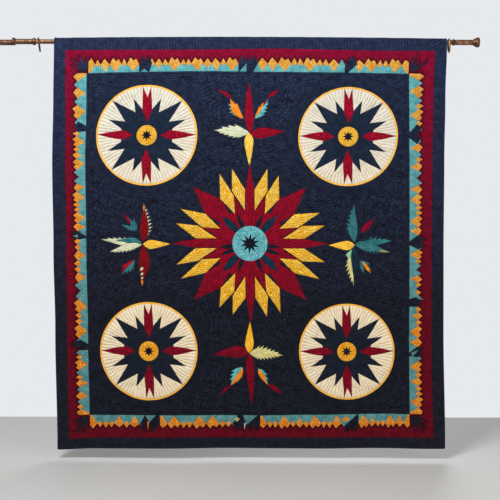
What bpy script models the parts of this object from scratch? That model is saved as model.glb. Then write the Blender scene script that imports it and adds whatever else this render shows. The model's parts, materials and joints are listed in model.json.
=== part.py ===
"""A star quilt that hangs on a metal rod.

Metres, +Z up. The origin is on the rod's axis, above the quilt's middle. X runs
along the rod, to the right of someone who faces the quilt, and Y runs away from them.
The quilt's upper end is turned back over the rod as a hem, and its four edges are bound.
"""

import math

import bmesh
import bpy
from mathutils import Vector
from mathutils.geometry import delaunay_2d_cdt

# The quilt's flat cut, and the gap that parts two touching pieces
QUILT_WIDTH = 2.030
QUILT_DROP = 2.118
HEM_LENGTH = 0.085
BINDING_WIDTH = 0.009
BINDING_THICKNESS = 0.0072
TOUCH_GAP = 0.0003

# The binding's rounded section, as parts of its half width and half thickness
BINDING_SECTION = (
    (1.0, 0.5),
    (0.6, 1.0),
    (-0.6, 1.0),
    (-1.0, 0.5),
    (-1.0, -0.5),
    (-0.6, -1.0),
    (0.6, -1.0),
    (1.0, -0.5),
)

# Thickness of the layers where they are stitched down and where they puff up
STITCHED = 0.0030
SOFT = 0.0048
PUFFED = 0.0075
HEM_THICKNESS = 0.0040

# The hem around the rod: its inner half depth, and its inner height above the axis
HEM_REACH = 0.0142
HEM_CROWN_END = 0.0142
HEM_CROWN_RISE = 0.0080
HEM_BACK_GAP = 0.0012

# Steps of the cloth's plain grids
COLUMNS = 28
ROWS = 23
ARC_STEPS = 8
HEM_STEPS = 3
EDGE_STEPS = 26

# The rod and its fittings
ROD_RADIUS = 0.0118
SLEEVE_RADIUS = 0.0140
BORE_RADIUS = ROD_RADIUS + TOUCH_GAP
FLANGE_RADIUS = 0.0200
POLE_RADIUS = 0.0145
POLE_DROP = 0.0050
CAP_RADIUS = 0.0258
LEFT_COLLAR_RADIUS = 0.0180
RIGHT_COLLAR_RADIUS = 0.0166
TURNING_STEPS = 32

# Where the fittings start and end along the rod
POLE_LEFT_END = -1.3180
FLANGE_START = -1.2410
SLEEVE_LEFT_START = -1.2220
SLEEVE_LEFT_END = -1.1375
COLLAR_LEFT_END = -1.1185
COLLAR_RIGHT_START = 1.0520
SLEEVE_RIGHT_START = 1.0655
SLEEVE_RIGHT_END = 1.1565
CAP_END = 1.1930

# The two curtain rings that stand idle beside the quilt
RING_OUTER_RADIUS = 0.0380
RING_WIRE_RADIUS = 0.0045
RING_ROD_GAP = 0.0006
RING_STEPS = 28
RING_WIRE_STEPS = 8

# Where the hung quilt's side edges lie: drop below the rod, left edge, right edge
SIDE_EDGES = (
    (0.000, -1.0215, 1.0222),
    (0.300, -1.0245, 1.0140),
    (0.620, -1.0296, 1.0085),
    (1.090, -1.0219, 1.0052),
    (1.500, -1.0121, 1.0052),
    (2.118, -1.0004, 1.0150),
)

# How far the lower edge hangs at places across the flat width: place, drop
LOWER_EDGE = (
    (-1.015, 2.1265),
    (-0.800, 2.1180),
    (-0.300, 2.1155),
    (0.250, 2.1175),
    (0.700, 2.1135),
    (1.015, 2.1150),
)

# Soft waves of the hanging cloth: length across, shift, depth at the lower edge
WAVES = (
    (1.37, 0.80, 0.0085),
    (0.74, 2.30, 0.0050),
    (0.41, 4.10, 0.0022),
)
BILLOW_DEPTH = 0.0100

# Seams of the border, measured inwards from the quilt's edge
NAVY_BAND = 0.062
SAW_OUTER = 0.112
SAW_INNER = 0.128
BORDER_DEPTH = 0.178
SAW_TEETH_ACROSS = 25
SAW_TEETH_DOWN = 27
BLOCK_STEP = 0.072

# The four round medallions: centre across, centre down, radius
MEDALLIONS = (
    (-0.530, 0.488, 0.265),
    (0.518, 0.493, 0.258),
    (-0.525, 1.612, 0.255),
    (0.512, 1.611, 0.248),
)
MEDALLION_STEPS = 36
MEDALLION_HUB = 0.20

# Rays of a medallion: bearing, inner end, shoulder, half width, tip, as parts of its radius
MEDALLION_RAYS = (
    (0.0, 0.29, 0.50, 0.092, 0.92),
    (20.0, 0.30, 0.50, 0.066, 0.75),
    (45.0, 0.25, 0.50, 0.125, 0.91),
    (69.0, 0.30, 0.50, 0.066, 0.78),
)

# The great star in the middle
STAR_CENTRE = (0.008, 1.052)
STAR_HUB = 0.091

# Rays of one half quarter of the star: bearing, inner end, shoulder, half width, tip
STAR_RAYS = (
    (0.0, 0.110, 0.250, 0.021, 0.405),
    (10.0, 0.180, 0.280, 0.026, 0.396),
    (24.5, 0.180, 0.268, 0.026, 0.396),
    (45.0, 0.110, 0.262, 0.050, 0.420),
)

# Leaves and feathers of the four sprigs: from across, from down, to across, to down, half width
SPRIG_LEAVES = (
    (0.010, 0.458, 0.003, 0.219, 0.020),
    (0.004, 0.490, 0.006, 0.632, 0.022),
    (-0.012, 0.470, -0.180, 0.461, 0.030),
    (0.026, 0.470, 0.186, 0.470, 0.026),
    (-0.034, 0.403, -0.098, 0.299, 0.014),
    (0.036, 0.403, 0.096, 0.307, 0.014),
    (-0.108, 0.288, -0.166, 0.247, 0.008),
    (0.104, 0.297, 0.158, 0.249, 0.008),
    (0.008, 1.474, 0.008, 1.600, 0.022),
    (-0.014, 1.622, -0.184, 1.627, 0.026),
    (0.026, 1.622, 0.176, 1.632, 0.026),
    (0.008, 1.640, 0.014, 1.890, 0.020),
    (-0.036, 1.694, -0.102, 1.788, 0.014),
    (0.048, 1.700, 0.110, 1.788, 0.014),
    (-0.112, 1.802, -0.160, 1.848, 0.008),
    (0.118, 1.800, 0.168, 1.835, 0.008),
    (-0.532, 1.052, -0.418, 1.055, 0.018),
    (-0.552, 1.030, -0.545, 0.842, 0.020),
    (-0.552, 1.076, -0.552, 1.264, 0.022),
    (-0.572, 1.046, -0.762, 1.028, 0.014),
    (-0.572, 1.064, -0.722, 1.096, 0.012),
    (-0.580, 0.980, -0.645, 0.900, 0.012),
    (-0.592, 1.139, -0.660, 1.205, 0.012),
    (0.526, 1.058, 0.424, 1.059, 0.016),
    (0.550, 1.036, 0.548, 0.850, 0.018),
    (0.550, 1.084, 0.548, 1.272, 0.020),
    (0.570, 1.048, 0.746, 1.035, 0.014),
    (0.570, 1.068, 0.736, 1.093, 0.012),
    (0.580, 0.990, 0.645, 0.920, 0.012),
    (0.588, 1.140, 0.645, 1.205, 0.012),
)

# Puffs of the free quilting between the motifs
FIELD_STEP = 0.066
FIELD_CLEAR = 0.026

# Where the panel ends inside its binding
PANEL_HALF_WIDTH = QUILT_WIDTH / 2 - BINDING_WIDTH - TOUCH_GAP
PANEL_DROP = QUILT_DROP - BINDING_WIDTH - TOUCH_GAP
PANEL_HEM = HEM_LENGTH - BINDING_WIDTH - TOUCH_GAP


# Colours and finishes
def make_material(name, colour, roughness, metallic=0.0):
    """A Principled material of one colour."""
    material = bpy.data.materials.new(name)
    material.use_nodes = True
    shader = material.node_tree.nodes["Principled BSDF"]
    shader.inputs["Base Color"].default_value = (*colour, 1.0)
    shader.inputs["Roughness"].default_value = roughness
    shader.inputs["Metallic"].default_value = metallic
    return material


# The form of the hanging cloth
def read_table(rows, place, column):
    """The value of a column at a place, eased between the table's rows."""
    if place <= rows[0][0]:
        return rows[0][column]
    for low, high in zip(rows, rows[1:]):
        if place <= high[0]:
            share = (place - low[0]) / (high[0] - low[0])
            eased = share * share * (3.0 - 2.0 * share)
            return low[column] + (high[column] - low[column]) * eased
    return rows[-1][column]


def hung_place(across, down):
    """Where a place of the flat quilt hangs, as X and Z."""
    left = read_table(SIDE_EDGES, down, 1)
    right = read_table(SIDE_EDGES, down, 2)
    x = left + (across / QUILT_WIDTH + 0.5) * (right - left)
    z = -down * read_table(LOWER_EDGE, across, 1) / QUILT_DROP
    return x, z


def back_depth(across, down):
    """Y of the quilt's back: plumb from the rod, with soft waves that grow downwards."""
    share = max(0.0, min(1.0, down / QUILT_DROP))
    wave = 0.0
    for length, shift, depth in WAVES:
        wave += depth * math.sin(2.0 * math.pi * across / length + shift)
    billow = BILLOW_DEPTH * math.sin(math.pi * share) * math.cos(1.3 * across)
    return -HEM_REACH + wave * share ** 1.3 - billow


def hem_crown(across):
    """Inner height of the turned hem above the rod's axis."""
    share = min(1.0, abs(across) / (QUILT_WIDTH / 2))
    return HEM_CROWN_END + HEM_CROWN_RISE * math.cos(0.5 * math.pi * share) ** 0.8


def front_point(across, down, thickness):
    """A point of the hanging sheet, so far in front of its back."""
    x, z = hung_place(across, down)
    return Vector((x, back_depth(across, down) - thickness, z))


def arc_point(across, turn, thickness):
    """A point of the hem over the rod; the turn runs from 0 in front to 1 behind."""
    x = hung_place(across, 0.0)[0]
    angle = math.pi * turn
    y = -(HEM_REACH + thickness) * math.cos(angle)
    z = (hem_crown(across) + thickness) * math.sin(angle)
    return Vector((x, y, z))


def flap_point(across, down, thickness):
    """A point of the hem behind the sheet, which closes in on the sheet's back."""
    x, z = hung_place(across, down)
    share = min(1.0, down / (0.8 * HEM_LENGTH))
    eased = share * share * (3.0 - 2.0 * share)
    closed = back_depth(across, down) + HEM_BACK_GAP
    y = HEM_REACH + (closed - HEM_REACH) * eased + thickness
    return Vector((x, y, z))


# The quilted relief, as points with a thickness and the seams that join them
class Relief:
    """Places on the quilt's face with their thickness, and the seams between them."""

    def __init__(self):
        self.places = []
        self.thickness = []
        self.seams = []

    def add(self, across, down, thickness):
        """Add one place and return its number."""
        self.places.append(Vector((across, down)))
        self.thickness.append(thickness)
        return len(self.places) - 1

    def line(self, points, thickness, closed=False):
        """Add a row of places joined by a seam."""
        numbers = [self.add(across, down, thickness) for across, down in points]
        self.seams.extend(zip(numbers, numbers[1:]))
        if closed:
            self.seams.append((numbers[-1], numbers[0]))
        return numbers

    def near(self, across, down, reach):
        """Whether a place lies within reach of one that is already there."""
        spot = Vector((across, down))
        return any((place - spot).length < reach for place in self.places)


def steps_between(start, end, count):
    """Evenly spaced values, both ends included."""
    return [start + (end - start) * index / count for index in range(count + 1)]


def polar(centre, radius, bearing):
    """A place at a bearing in degrees, clockwise from straight up."""
    angle = math.radians(bearing)
    return centre[0] + radius * math.sin(angle), centre[1] - radius * math.cos(angle)


def circle(centre, radius, count):
    """Places around a circle."""
    return [polar(centre, radius, 360.0 * index / count) for index in range(count)]


def add_outline(relief):
    """The panel's own edge, which the fold, the back and the walls share."""
    across = steps_between(-PANEL_HALF_WIDTH, PANEL_HALF_WIDTH, COLUMNS)
    down = steps_between(0.0, PANEL_DROP, ROWS)
    loop = [(value, 0.0) for value in across]
    loop += [(PANEL_HALF_WIDTH, value) for value in down[1:]]
    loop += [(value, PANEL_DROP) for value in reversed(across[:-1])]
    loop += [(-PANEL_HALF_WIDTH, value) for value in reversed(down[1:-1])]
    return relief.line(loop, HEM_THICKNESS, closed=True)


def inset_rectangle(inset, step):
    """A rectangle so far inside the quilt's edge, with places about a step apart."""
    half = QUILT_WIDTH / 2 - inset
    top = inset - 0.018
    bottom = QUILT_DROP - inset
    count_across = round(2.0 * half / step)
    count_down = round((bottom - top) / step)
    across = steps_between(-half, half, count_across)
    down = steps_between(top, bottom, count_down)
    loop = [(value, top) for value in across]
    loop += [(half, value) for value in down[1:]]
    loop += [(value, bottom) for value in reversed(across[:-1])]
    loop += [(-half, value) for value in reversed(down[1:-1])]
    return loop


def add_borders(relief):
    """Two border seams, the sawtooth between them and the puffs of the bands."""
    relief.line(inset_rectangle(NAVY_BAND, BLOCK_STEP), STITCHED, closed=True)
    relief.line(inset_rectangle(BORDER_DEPTH, BLOCK_STEP), STITCHED, closed=True)
    for inset, thickness in ((0.036, PUFFED), (0.088, SOFT + 0.0015), (0.153, SOFT + 0.0012)):
        for index, (across, down) in enumerate(inset_rectangle(inset, BLOCK_STEP)):
            uneven = 0.0006 * math.sin(2.4 * index)
            relief.add(across, down, thickness + uneven)
    half = QUILT_WIDTH / 2
    first = BORDER_DEPTH + 0.012
    for side in (-1.0, 1.0):
        teeth = steps_between(first, QUILT_DROP - first, 2 * SAW_TEETH_DOWN)
        places = []
        for index, down in enumerate(teeth):
            inset = SAW_OUTER if index % 2 else SAW_INNER
            places.append((side * (half - inset), down))
        relief.line(places, STITCHED)
    for edge in (0.0, QUILT_DROP):
        inward = 1.0 if edge == 0.0 else -1.0
        lift = 0.018 if edge == 0.0 else 0.0
        teeth = steps_between(-half + first, half - first, 2 * SAW_TEETH_ACROSS)
        places = []
        for index, across in enumerate(teeth):
            inset = SAW_OUTER if index % 2 else SAW_INNER
            places.append((across, edge + inward * (inset - lift)))
        relief.line(places, STITCHED)


def add_ray(relief, centre, bearing, sizes):
    """One ray: a kite with its four corners stitched down and a raised spine."""
    inner, shoulder, half_width, tip = sizes
    spread = math.degrees(math.atan2(half_width, shoulder))
    reach = math.hypot(half_width, shoulder)
    corners = [
        polar(centre, inner, bearing),
        polar(centre, reach, bearing - spread),
        polar(centre, tip, bearing),
        polar(centre, reach, bearing + spread),
    ]
    relief.line(corners, STITCHED, closed=True)
    relief.add(*polar(centre, 0.5 * (inner + shoulder), bearing), SOFT)
    relief.add(*polar(centre, shoulder, bearing), PUFFED)
    relief.add(*polar(centre, 0.55 * shoulder + 0.45 * tip, bearing), PUFFED - 0.001)


def ray_bearings(bearing):
    """The bearings that one row of a half quarter's table stands for."""
    if bearing == 0.0:
        return [0.0, 90.0, 180.0, 270.0]
    if bearing == 45.0:
        return [45.0, 135.0, 225.0, 315.0]
    return [quarter + sign * bearing for quarter in (0.0, 180.0) for sign in (-1.0, 1.0)]


def star_bearings(bearing):
    """As ray_bearings, with the rays beside a cardinal repeated at all four."""
    if bearing in (0.0, 45.0):
        return ray_bearings(bearing)
    return [quarter + sign * bearing for quarter in (0, 90, 180, 270) for sign in (-1.0, 1.0)]


def add_medallion(relief, medallion):
    """A round medallion: hub, rays, raised rim and one echo of quilting around it."""
    across, down, radius = medallion
    centre = (across, down)
    hub = MEDALLION_HUB * radius
    relief.line(circle(centre, hub, 14), STITCHED, closed=True)
    relief.add(across, down, PUFFED)
    for bearing, *parts in MEDALLION_RAYS:
        for turned in ray_bearings(bearing):
            add_ray(relief, centre, turned, [part * radius for part in parts])
    relief.line(circle(centre, radius - 0.014, MEDALLION_STEPS), STITCHED, closed=True)
    relief.line(circle(centre, radius - 0.005, MEDALLION_STEPS), PUFFED, closed=True)
    relief.line(circle(centre, radius + 0.004, MEDALLION_STEPS), STITCHED, closed=True)
    relief.line(circle(centre, radius + 0.022, MEDALLION_STEPS), SOFT + 0.001, closed=True)
    for place in circle(centre, 0.845 * radius, 24):
        if not relief.near(*place, 0.022):
            relief.add(*place, SOFT + 0.001)


def add_star(relief):
    """The great star: its hub and its four kinds of rays."""
    relief.line(circle(STAR_CENTRE, STAR_HUB, 20), STITCHED, closed=True)
    for place in circle(STAR_CENTRE, 0.5 * STAR_HUB, 8):
        relief.add(*place, PUFFED)
    for bearing, *sizes in STAR_RAYS:
        for turned in star_bearings(bearing):
            add_ray(relief, STAR_CENTRE, turned, sizes)


def add_leaf(relief, row):
    """A leaf or feather: a spindle stitched along its outline, with a raised spine."""
    start = Vector(row[0:2])
    end = Vector(row[2:4])
    half_width = row[4]
    side = (end - start).orthogonal().normalized() * half_width
    early = start.lerp(end, 0.30)
    late = start.lerp(end, 0.62)
    outline = [start, early + side, late + 0.8 * side, end, late - 0.8 * side, early - side]
    relief.line([tuple(place) for place in outline], STITCHED, closed=True)
    relief.add(early.x, early.y, PUFFED)
    relief.add(late.x, late.y, PUFFED - 0.001)


def add_field(relief):
    """Puffs of the free quilting in the dark field, clear of the motifs."""
    half = QUILT_WIDTH / 2 - BORDER_DEPTH - 0.030
    top = BORDER_DEPTH + 0.012
    bottom = QUILT_DROP - BORDER_DEPTH - 0.030
    row_step = FIELD_STEP * math.sqrt(0.75)
    for row in range(int((bottom - top) / row_step) + 1):
        for column in range(int(2.0 * half / FIELD_STEP) + 1):
            shift = 0.5 * FIELD_STEP * (row % 2)
            across = -half + column * FIELD_STEP + shift + 0.010 * math.sin(1.7 * row)
            down = top + row * row_step + 0.010 * math.sin(1.3 * column)
            in_medallion = any(
                math.hypot(across - place[0], down - place[1]) < place[2] + 0.045 for place in MEDALLIONS
            )
            in_star = math.hypot(across - STAR_CENTRE[0], down - STAR_CENTRE[1]) < 0.28
            if in_medallion or in_star or across > half or relief.near(across, down, FIELD_CLEAR):
                continue
            puff = (row + 2 * column) % 3
            relief.add(across, down, (STITCHED, SOFT, PUFFED - 0.001)[puff])


def link_mesh(collection, name, mesh_builder, material, smooth_angle=None):
    """Make an object from a finished bmesh."""
    mesh = bpy.data.meshes.new(name)
    mesh_builder.to_mesh(mesh)
    mesh_builder.free()
    if smooth_angle is not None:
        mesh.shade_smooth()
        mesh.set_sharp_from_angle(angle=smooth_angle)
    built = bpy.data.objects.new(name, mesh)
    built.data.materials.append(material)
    collection.objects.link(built)
    return built


def bridge(builder, first, second, closed=False):
    """Faces between two rows of points of the same length."""
    count = len(first)
    for index in range(count if closed else count - 1):
        following = (index + 1) % count
        builder.faces.new((first[index], first[following], second[following], second[index]))


# The quilt: a relief face in front, a plain back, and the hem over the rod
def build_quilt(collection, material):
    """The quilted panel with its turned hem, as one closed solid."""
    relief = Relief()
    outline = add_outline(relief)
    add_borders(relief)
    for medallion in MEDALLIONS:
        add_medallion(relief, medallion)
    add_star(relief)
    for row in SPRIG_LEAVES:
        add_leaf(relief, row)
    add_field(relief)
    inside_only = 1
    places, _, triangles, sources, _, _ = delaunay_2d_cdt(
        relief.places, relief.seams, [], inside_only, 1e-7
    )
    builder = bmesh.new()
    face_points = []
    number_of = {}
    for index, place in enumerate(places):
        thickness = STITCHED
        if sources[index]:
            thickness = relief.thickness[sources[index][0]]
            for source in sources[index]:
                number_of[source] = index
        face_points.append(builder.verts.new(front_point(place.x, place.y, thickness)))
    for triangle in triangles:
        builder.faces.new([face_points[number] for number in triangle])
    rim = [face_points[number_of[number]] for number in outline]
    across = steps_between(-PANEL_HALF_WIDTH, PANEL_HALF_WIDTH, COLUMNS)
    down = steps_between(0.0, PANEL_DROP, ROWS)
    top_row = rim[: COLUMNS + 1]
    right_column = rim[COLUMNS : COLUMNS + ROWS + 1]
    bottom_row = rim[COLUMNS + ROWS : 2 * COLUMNS + ROWS + 1]
    left_column = rim[2 * COLUMNS + ROWS :] + [rim[0]]

    turns = steps_between(0.0, 1.0, ARC_STEPS)
    flap = steps_between(0.0, PANEL_HEM, HEM_STEPS)
    outer_rows = [top_row]
    for turn in turns[1:]:
        outer_rows.append([builder.verts.new(arc_point(value, turn, HEM_THICKNESS)) for value in across])
    for low in flap[1:]:
        outer_rows.append([builder.verts.new(flap_point(value, low, HEM_THICKNESS)) for value in across])
    inner_rows = []
    for low in reversed(flap[1:]):
        inner_rows.append([builder.verts.new(flap_point(value, low, 0.0)) for value in across])
    for turn in reversed(turns):
        inner_rows.append([builder.verts.new(arc_point(value, turn, 0.0)) for value in across])
    back_rows = [inner_rows[-1]]
    for low in down[1:]:
        back_rows.append([builder.verts.new(front_point(value, low, 0.0)) for value in across])
    section = outer_rows + inner_rows + back_rows[1:]
    for first, second in zip(section, section[1:]):
        bridge(builder, first, second)
    bridge(builder, back_rows[-1], list(reversed(bottom_row)))

    for end in (0, -1):
        outer = [row[end] for row in outer_rows]
        inner = [row[end] for row in reversed(inner_rows)]
        bridge(builder, outer, inner)
        back = [row[end] for row in back_rows]
        front = right_column if end == -1 else list(reversed(left_column))
        bridge(builder, front, back)
    bmesh.ops.remove_doubles(builder, verts=builder.verts, dist=1e-7)
    bmesh.ops.recalc_face_normals(builder, faces=builder.faces)
    return link_mesh(collection, "quilt", builder, material, math.radians(60.0))


def binding_stations():
    """Stations around the bound edge: a placing function, its place, and the inward step."""
    half = QUILT_WIDTH / 2 - 0.5 * BINDING_WIDTH
    low = QUILT_DROP - 0.5 * BINDING_WIDTH
    flap_low = HEM_LENGTH - 0.5 * BINDING_WIDTH
    stations = []
    for value in steps_between(-half, half, EDGE_STEPS):
        stations.append(("front", value, low))
    for value in list(reversed(steps_between(0.0, low, EDGE_STEPS)))[1:]:
        stations.append(("front", half, value))
    for value in steps_between(0.0, 1.0, ARC_STEPS)[1:]:
        stations.append(("arc", half, value))
    for value in steps_between(0.0, flap_low, HEM_STEPS)[1:]:
        stations.append(("flap", half, value))
    for value in list(reversed(steps_between(-half, half, EDGE_STEPS)))[1:]:
        stations.append(("flap", value, flap_low))
    for value in list(reversed(steps_between(0.0, flap_low, HEM_STEPS)))[1:]:
        stations.append(("flap", -half, value))
    for value in list(reversed(steps_between(0.0, 1.0, ARC_STEPS)))[1:]:
        stations.append(("arc", -half, value))
    for value in steps_between(0.0, low, EDGE_STEPS)[1:-1]:
        stations.append(("front", -half, value))
    return stations


# The binding: one strip of doubled cloth around all four edges
def build_binding(collection, material):
    """A rounded strip swept around the quilt's edge, over the rod and along the hem."""
    place_of = {"front": front_point, "arc": arc_point, "flap": flap_point}
    builder = bmesh.new()
    stations = binding_stations()
    centres = []
    lifts = []
    for kind, across, along in stations:
        low = place_of[kind](across, along, 0.0)
        high = place_of[kind](across, along, BINDING_THICKNESS)
        centres.append((low + high) / 2)
        lifts.append((high - low).normalized())
    loops = []
    count = len(stations)
    for index in range(count):
        before = centres[index - 1]
        after = centres[(index + 1) % count]
        here = centres[index]
        into = (here - before).normalized()
        out = (after - here).normalized()
        run = (into + out).normalized()
        lift = lifts[index]
        side = run.cross(lift).normalized()
        corner = 1.0 / max(0.7, math.cos(0.5 * into.angle(out)))
        if abs(into.dot(lift)) > 0.2 or abs(out.dot(lift)) > 0.2:
            corner = 1.0
        half_width = 0.5 * BINDING_WIDTH * corner
        half_height = 0.5 * BINDING_THICKNESS
        loop = []
        for right, up in BINDING_SECTION:
            loop.append(builder.verts.new(here + side * (right * half_width) + lift * (up * half_height)))
        loops.append(loop)
    for index in range(count):
        bridge(builder, loops[index], loops[(index + 1) % count], closed=True)
    bmesh.ops.recalc_face_normals(builder, faces=builder.faces)
    return link_mesh(collection, "binding", builder, material, math.radians(50.0))


# The rod and its turned fittings
def build_turned(collection, name, profile, start, material, drop=0.0):
    """A profile of radius and height turned about its axis and laid along the rod."""
    hollow = all(radius > 0.0 for radius, _ in profile)
    mesh = bpy.data.meshes.new(name)
    edges = [(index, index + 1) for index in range(len(profile) - 1)]
    if hollow:
        edges.append((len(profile) - 1, 0))
    mesh.from_pydata([(radius, 0.0, height) for radius, height in profile], edges, [])
    built = bpy.data.objects.new(name, mesh)
    collection.objects.link(built)
    screw = built.modifiers.new("turning", "SCREW")
    screw.axis = "Z"
    screw.angle = 2.0 * math.pi
    screw.steps = TURNING_STEPS
    screw.render_steps = TURNING_STEPS
    screw.use_merge_vertices = True
    screw.merge_threshold = 0.00005
    screw.use_smooth_shade = True
    built.rotation_euler = (0.0, math.pi / 2, 0.0)
    built.location = (start, 0.0, -drop)
    mesh.materials.append(material)
    return built


def tube_profile(outer, length, inner=BORE_RADIUS, rounding=0.0008):
    """A tube's section, outer side from top to bottom, with eased rims."""
    return [
        (outer - rounding, length),
        (outer, length - rounding),
        (outer, rounding),
        (outer - rounding, 0.0),
        (inner, 0.0),
        (inner, length),
    ]


def bar_profile(radius, length, rounding=0.0010):
    """A solid bar's half section, from its upper end to its lower end."""
    return [
        (0.0, length),
        (radius - rounding, length),
        (radius, length - rounding),
        (radius, rounding),
        (radius - rounding, 0.0),
        (0.0, 0.0),
    ]


def build_rod(collection, bronze, dark_bronze):
    """The rod, the sleeves at its ends, the collars, the flange and the flared cap."""
    rod_start = SLEEVE_LEFT_START + TOUCH_GAP
    rod_length = SLEEVE_RIGHT_END - TOUCH_GAP - rod_start
    build_turned(collection, "rod", bar_profile(ROD_RADIUS, rod_length, 0.0006), rod_start, bronze)

    sleeve_left = tube_profile(SLEEVE_RADIUS, SLEEVE_LEFT_END - SLEEVE_LEFT_START - 2 * TOUCH_GAP)
    build_turned(collection, "sleeve_left", sleeve_left, SLEEVE_LEFT_START + TOUCH_GAP, bronze)
    sleeve_right = tube_profile(SLEEVE_RADIUS, SLEEVE_RIGHT_END - SLEEVE_RIGHT_START - 2 * TOUCH_GAP)
    build_turned(collection, "sleeve_right", sleeve_right, SLEEVE_RIGHT_START + TOUCH_GAP, bronze)

    collar_left = tube_profile(LEFT_COLLAR_RADIUS, COLLAR_LEFT_END - SLEEVE_LEFT_END, rounding=0.0035)
    build_turned(collection, "collar_left", collar_left, SLEEVE_LEFT_END, dark_bronze)
    collar_right = tube_profile(RIGHT_COLLAR_RADIUS, SLEEVE_RIGHT_START - COLLAR_RIGHT_START, rounding=0.0030)
    build_turned(collection, "collar_right", collar_right, COLLAR_RIGHT_START, dark_bronze)

    flange_length = SLEEVE_LEFT_START - FLANGE_START
    flange = [
        (0.0, flange_length),
        (SLEEVE_RADIUS, flange_length),
        (0.5 * (SLEEVE_RADIUS + FLANGE_RADIUS), 0.72 * flange_length),
        (FLANGE_RADIUS - 0.0008, 0.58 * flange_length),
        (FLANGE_RADIUS, 0.48 * flange_length),
        (FLANGE_RADIUS, 0.10 * flange_length),
        (FLANGE_RADIUS - 0.0015, 0.0),
        (0.0, 0.0),
    ]
    build_turned(collection, "flange_left", flange, FLANGE_START, dark_bronze)

    pole_length = FLANGE_START - TOUCH_GAP - POLE_LEFT_END
    pole = bar_profile(POLE_RADIUS, pole_length, 0.0010)
    build_turned(collection, "pole_end_left", pole, POLE_LEFT_END, bronze, drop=POLE_DROP)

    cap_length = CAP_END - SLEEVE_RIGHT_END
    cap = [
        (0.0, cap_length),
        (CAP_RADIUS - 0.0025, cap_length),
        (CAP_RADIUS, 0.88 * cap_length),
        (CAP_RADIUS, 0.66 * cap_length),
        (CAP_RADIUS - 0.0020, 0.52 * cap_length),
        (0.0195, 0.34 * cap_length),
        (0.0165, 0.20 * cap_length),
        (SLEEVE_RADIUS + 0.0006, 0.06 * cap_length),
        (SLEEVE_RADIUS - 0.0004, 0.0),
        (0.0, 0.0),
    ]
    build_turned(collection, "cap_right", cap, SLEEVE_RIGHT_END, dark_bronze)


# The idle curtain rings
def build_ring(collection, name, place, turn, lean, material):
    """A ring of round wire that hangs on the rod, turned and leaning a little."""
    major = RING_OUTER_RADIUS - RING_WIRE_RADIUS
    top_of_rod = ROD_RADIUS + RING_ROD_GAP + RING_WIRE_RADIUS
    bpy.ops.mesh.primitive_torus_add(
        major_radius=major,
        minor_radius=RING_WIRE_RADIUS,
        major_segments=RING_STEPS,
        minor_segments=RING_WIRE_STEPS,
    )
    ring = bpy.context.object
    ring.name = name
    ring.data.name = name
    ring.rotation_euler = (0.0, math.pi / 2 + math.radians(lean), math.radians(turn))
    ring.location = (place, 0.0, top_of_rod - major * math.cos(math.radians(lean)))
    ring.data.materials.append(material)
    ring.data.shade_smooth()
    for owner in list(ring.users_collection):
        owner.objects.unlink(ring)
    collection.objects.link(ring)
    return ring


def clear_scene():
    """Remove whatever the file opened with."""
    for old in list(bpy.data.objects):
        bpy.data.objects.remove(old, do_unlink=True)


def main():
    """Build the quilt, its binding, the rod and the rings."""
    clear_scene()
    collection = bpy.data.collections.new("star_quilt_on_rod")
    bpy.context.scene.collection.children.link(collection)
    navy = make_material("navy_patchwork", (0.016, 0.020, 0.050), 0.85)
    navy_edge = make_material("navy_binding", (0.012, 0.018, 0.045), 0.80)
    bronze = make_material("bronze", (0.30, 0.13, 0.055), 0.38, 1.0)
    dark_bronze = make_material("dark_bronze", (0.17, 0.075, 0.04), 0.42, 1.0)
    build_quilt(collection, navy)
    build_binding(collection, navy_edge)
    build_rod(collection, bronze, dark_bronze)
    build_ring(collection, "ring_left", -1.1020, 12.0, -8.0, dark_bronze)
    build_ring(collection, "ring_right", 1.0355, -4.0, -1.5, bronze)


main()
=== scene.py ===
"""A patchwork star quilt hung by its turned-back top hem on a bronze rod."""

import json
import logging
import math
import random
from dataclasses import dataclass, field
from enum import Enum
from typing import Callable

import bmesh
import bpy
import numpy as np
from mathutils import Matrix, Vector
from mathutils.geometry import delaunay_2d_cdt
from mathutils.kdtree import KDTree

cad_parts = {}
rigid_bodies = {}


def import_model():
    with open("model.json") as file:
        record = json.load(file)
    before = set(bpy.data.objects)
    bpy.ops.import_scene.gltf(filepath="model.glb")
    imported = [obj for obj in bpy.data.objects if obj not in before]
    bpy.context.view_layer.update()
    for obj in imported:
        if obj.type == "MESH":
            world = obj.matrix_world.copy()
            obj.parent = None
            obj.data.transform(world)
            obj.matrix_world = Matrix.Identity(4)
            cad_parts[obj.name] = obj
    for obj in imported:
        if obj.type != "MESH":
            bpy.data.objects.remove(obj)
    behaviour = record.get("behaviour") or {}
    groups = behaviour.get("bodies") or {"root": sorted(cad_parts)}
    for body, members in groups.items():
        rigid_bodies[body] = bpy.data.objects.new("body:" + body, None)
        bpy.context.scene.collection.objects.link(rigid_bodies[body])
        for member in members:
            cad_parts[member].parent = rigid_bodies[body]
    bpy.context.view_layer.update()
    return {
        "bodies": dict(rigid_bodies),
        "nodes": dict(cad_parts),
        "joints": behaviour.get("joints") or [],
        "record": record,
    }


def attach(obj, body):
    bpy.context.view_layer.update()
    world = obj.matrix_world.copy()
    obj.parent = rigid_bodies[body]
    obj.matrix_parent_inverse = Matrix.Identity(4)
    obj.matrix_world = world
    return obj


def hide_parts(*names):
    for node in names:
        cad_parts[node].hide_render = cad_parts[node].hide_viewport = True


LOG = logging.getLogger("star_quilt")
MM = 0.001
SEAMLESS = 0.05
LINE_POWER = 0.7
VECTOR = "NodeSocketVector"
NUMBER = "NodeSocketFloat"
COLOUR = "NodeSocketColor"
Point = tuple[float, float]
Colour = tuple[float, float, float]
Socket = bpy.types.NodeSocket
Tree = bpy.types.NodeTree


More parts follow.
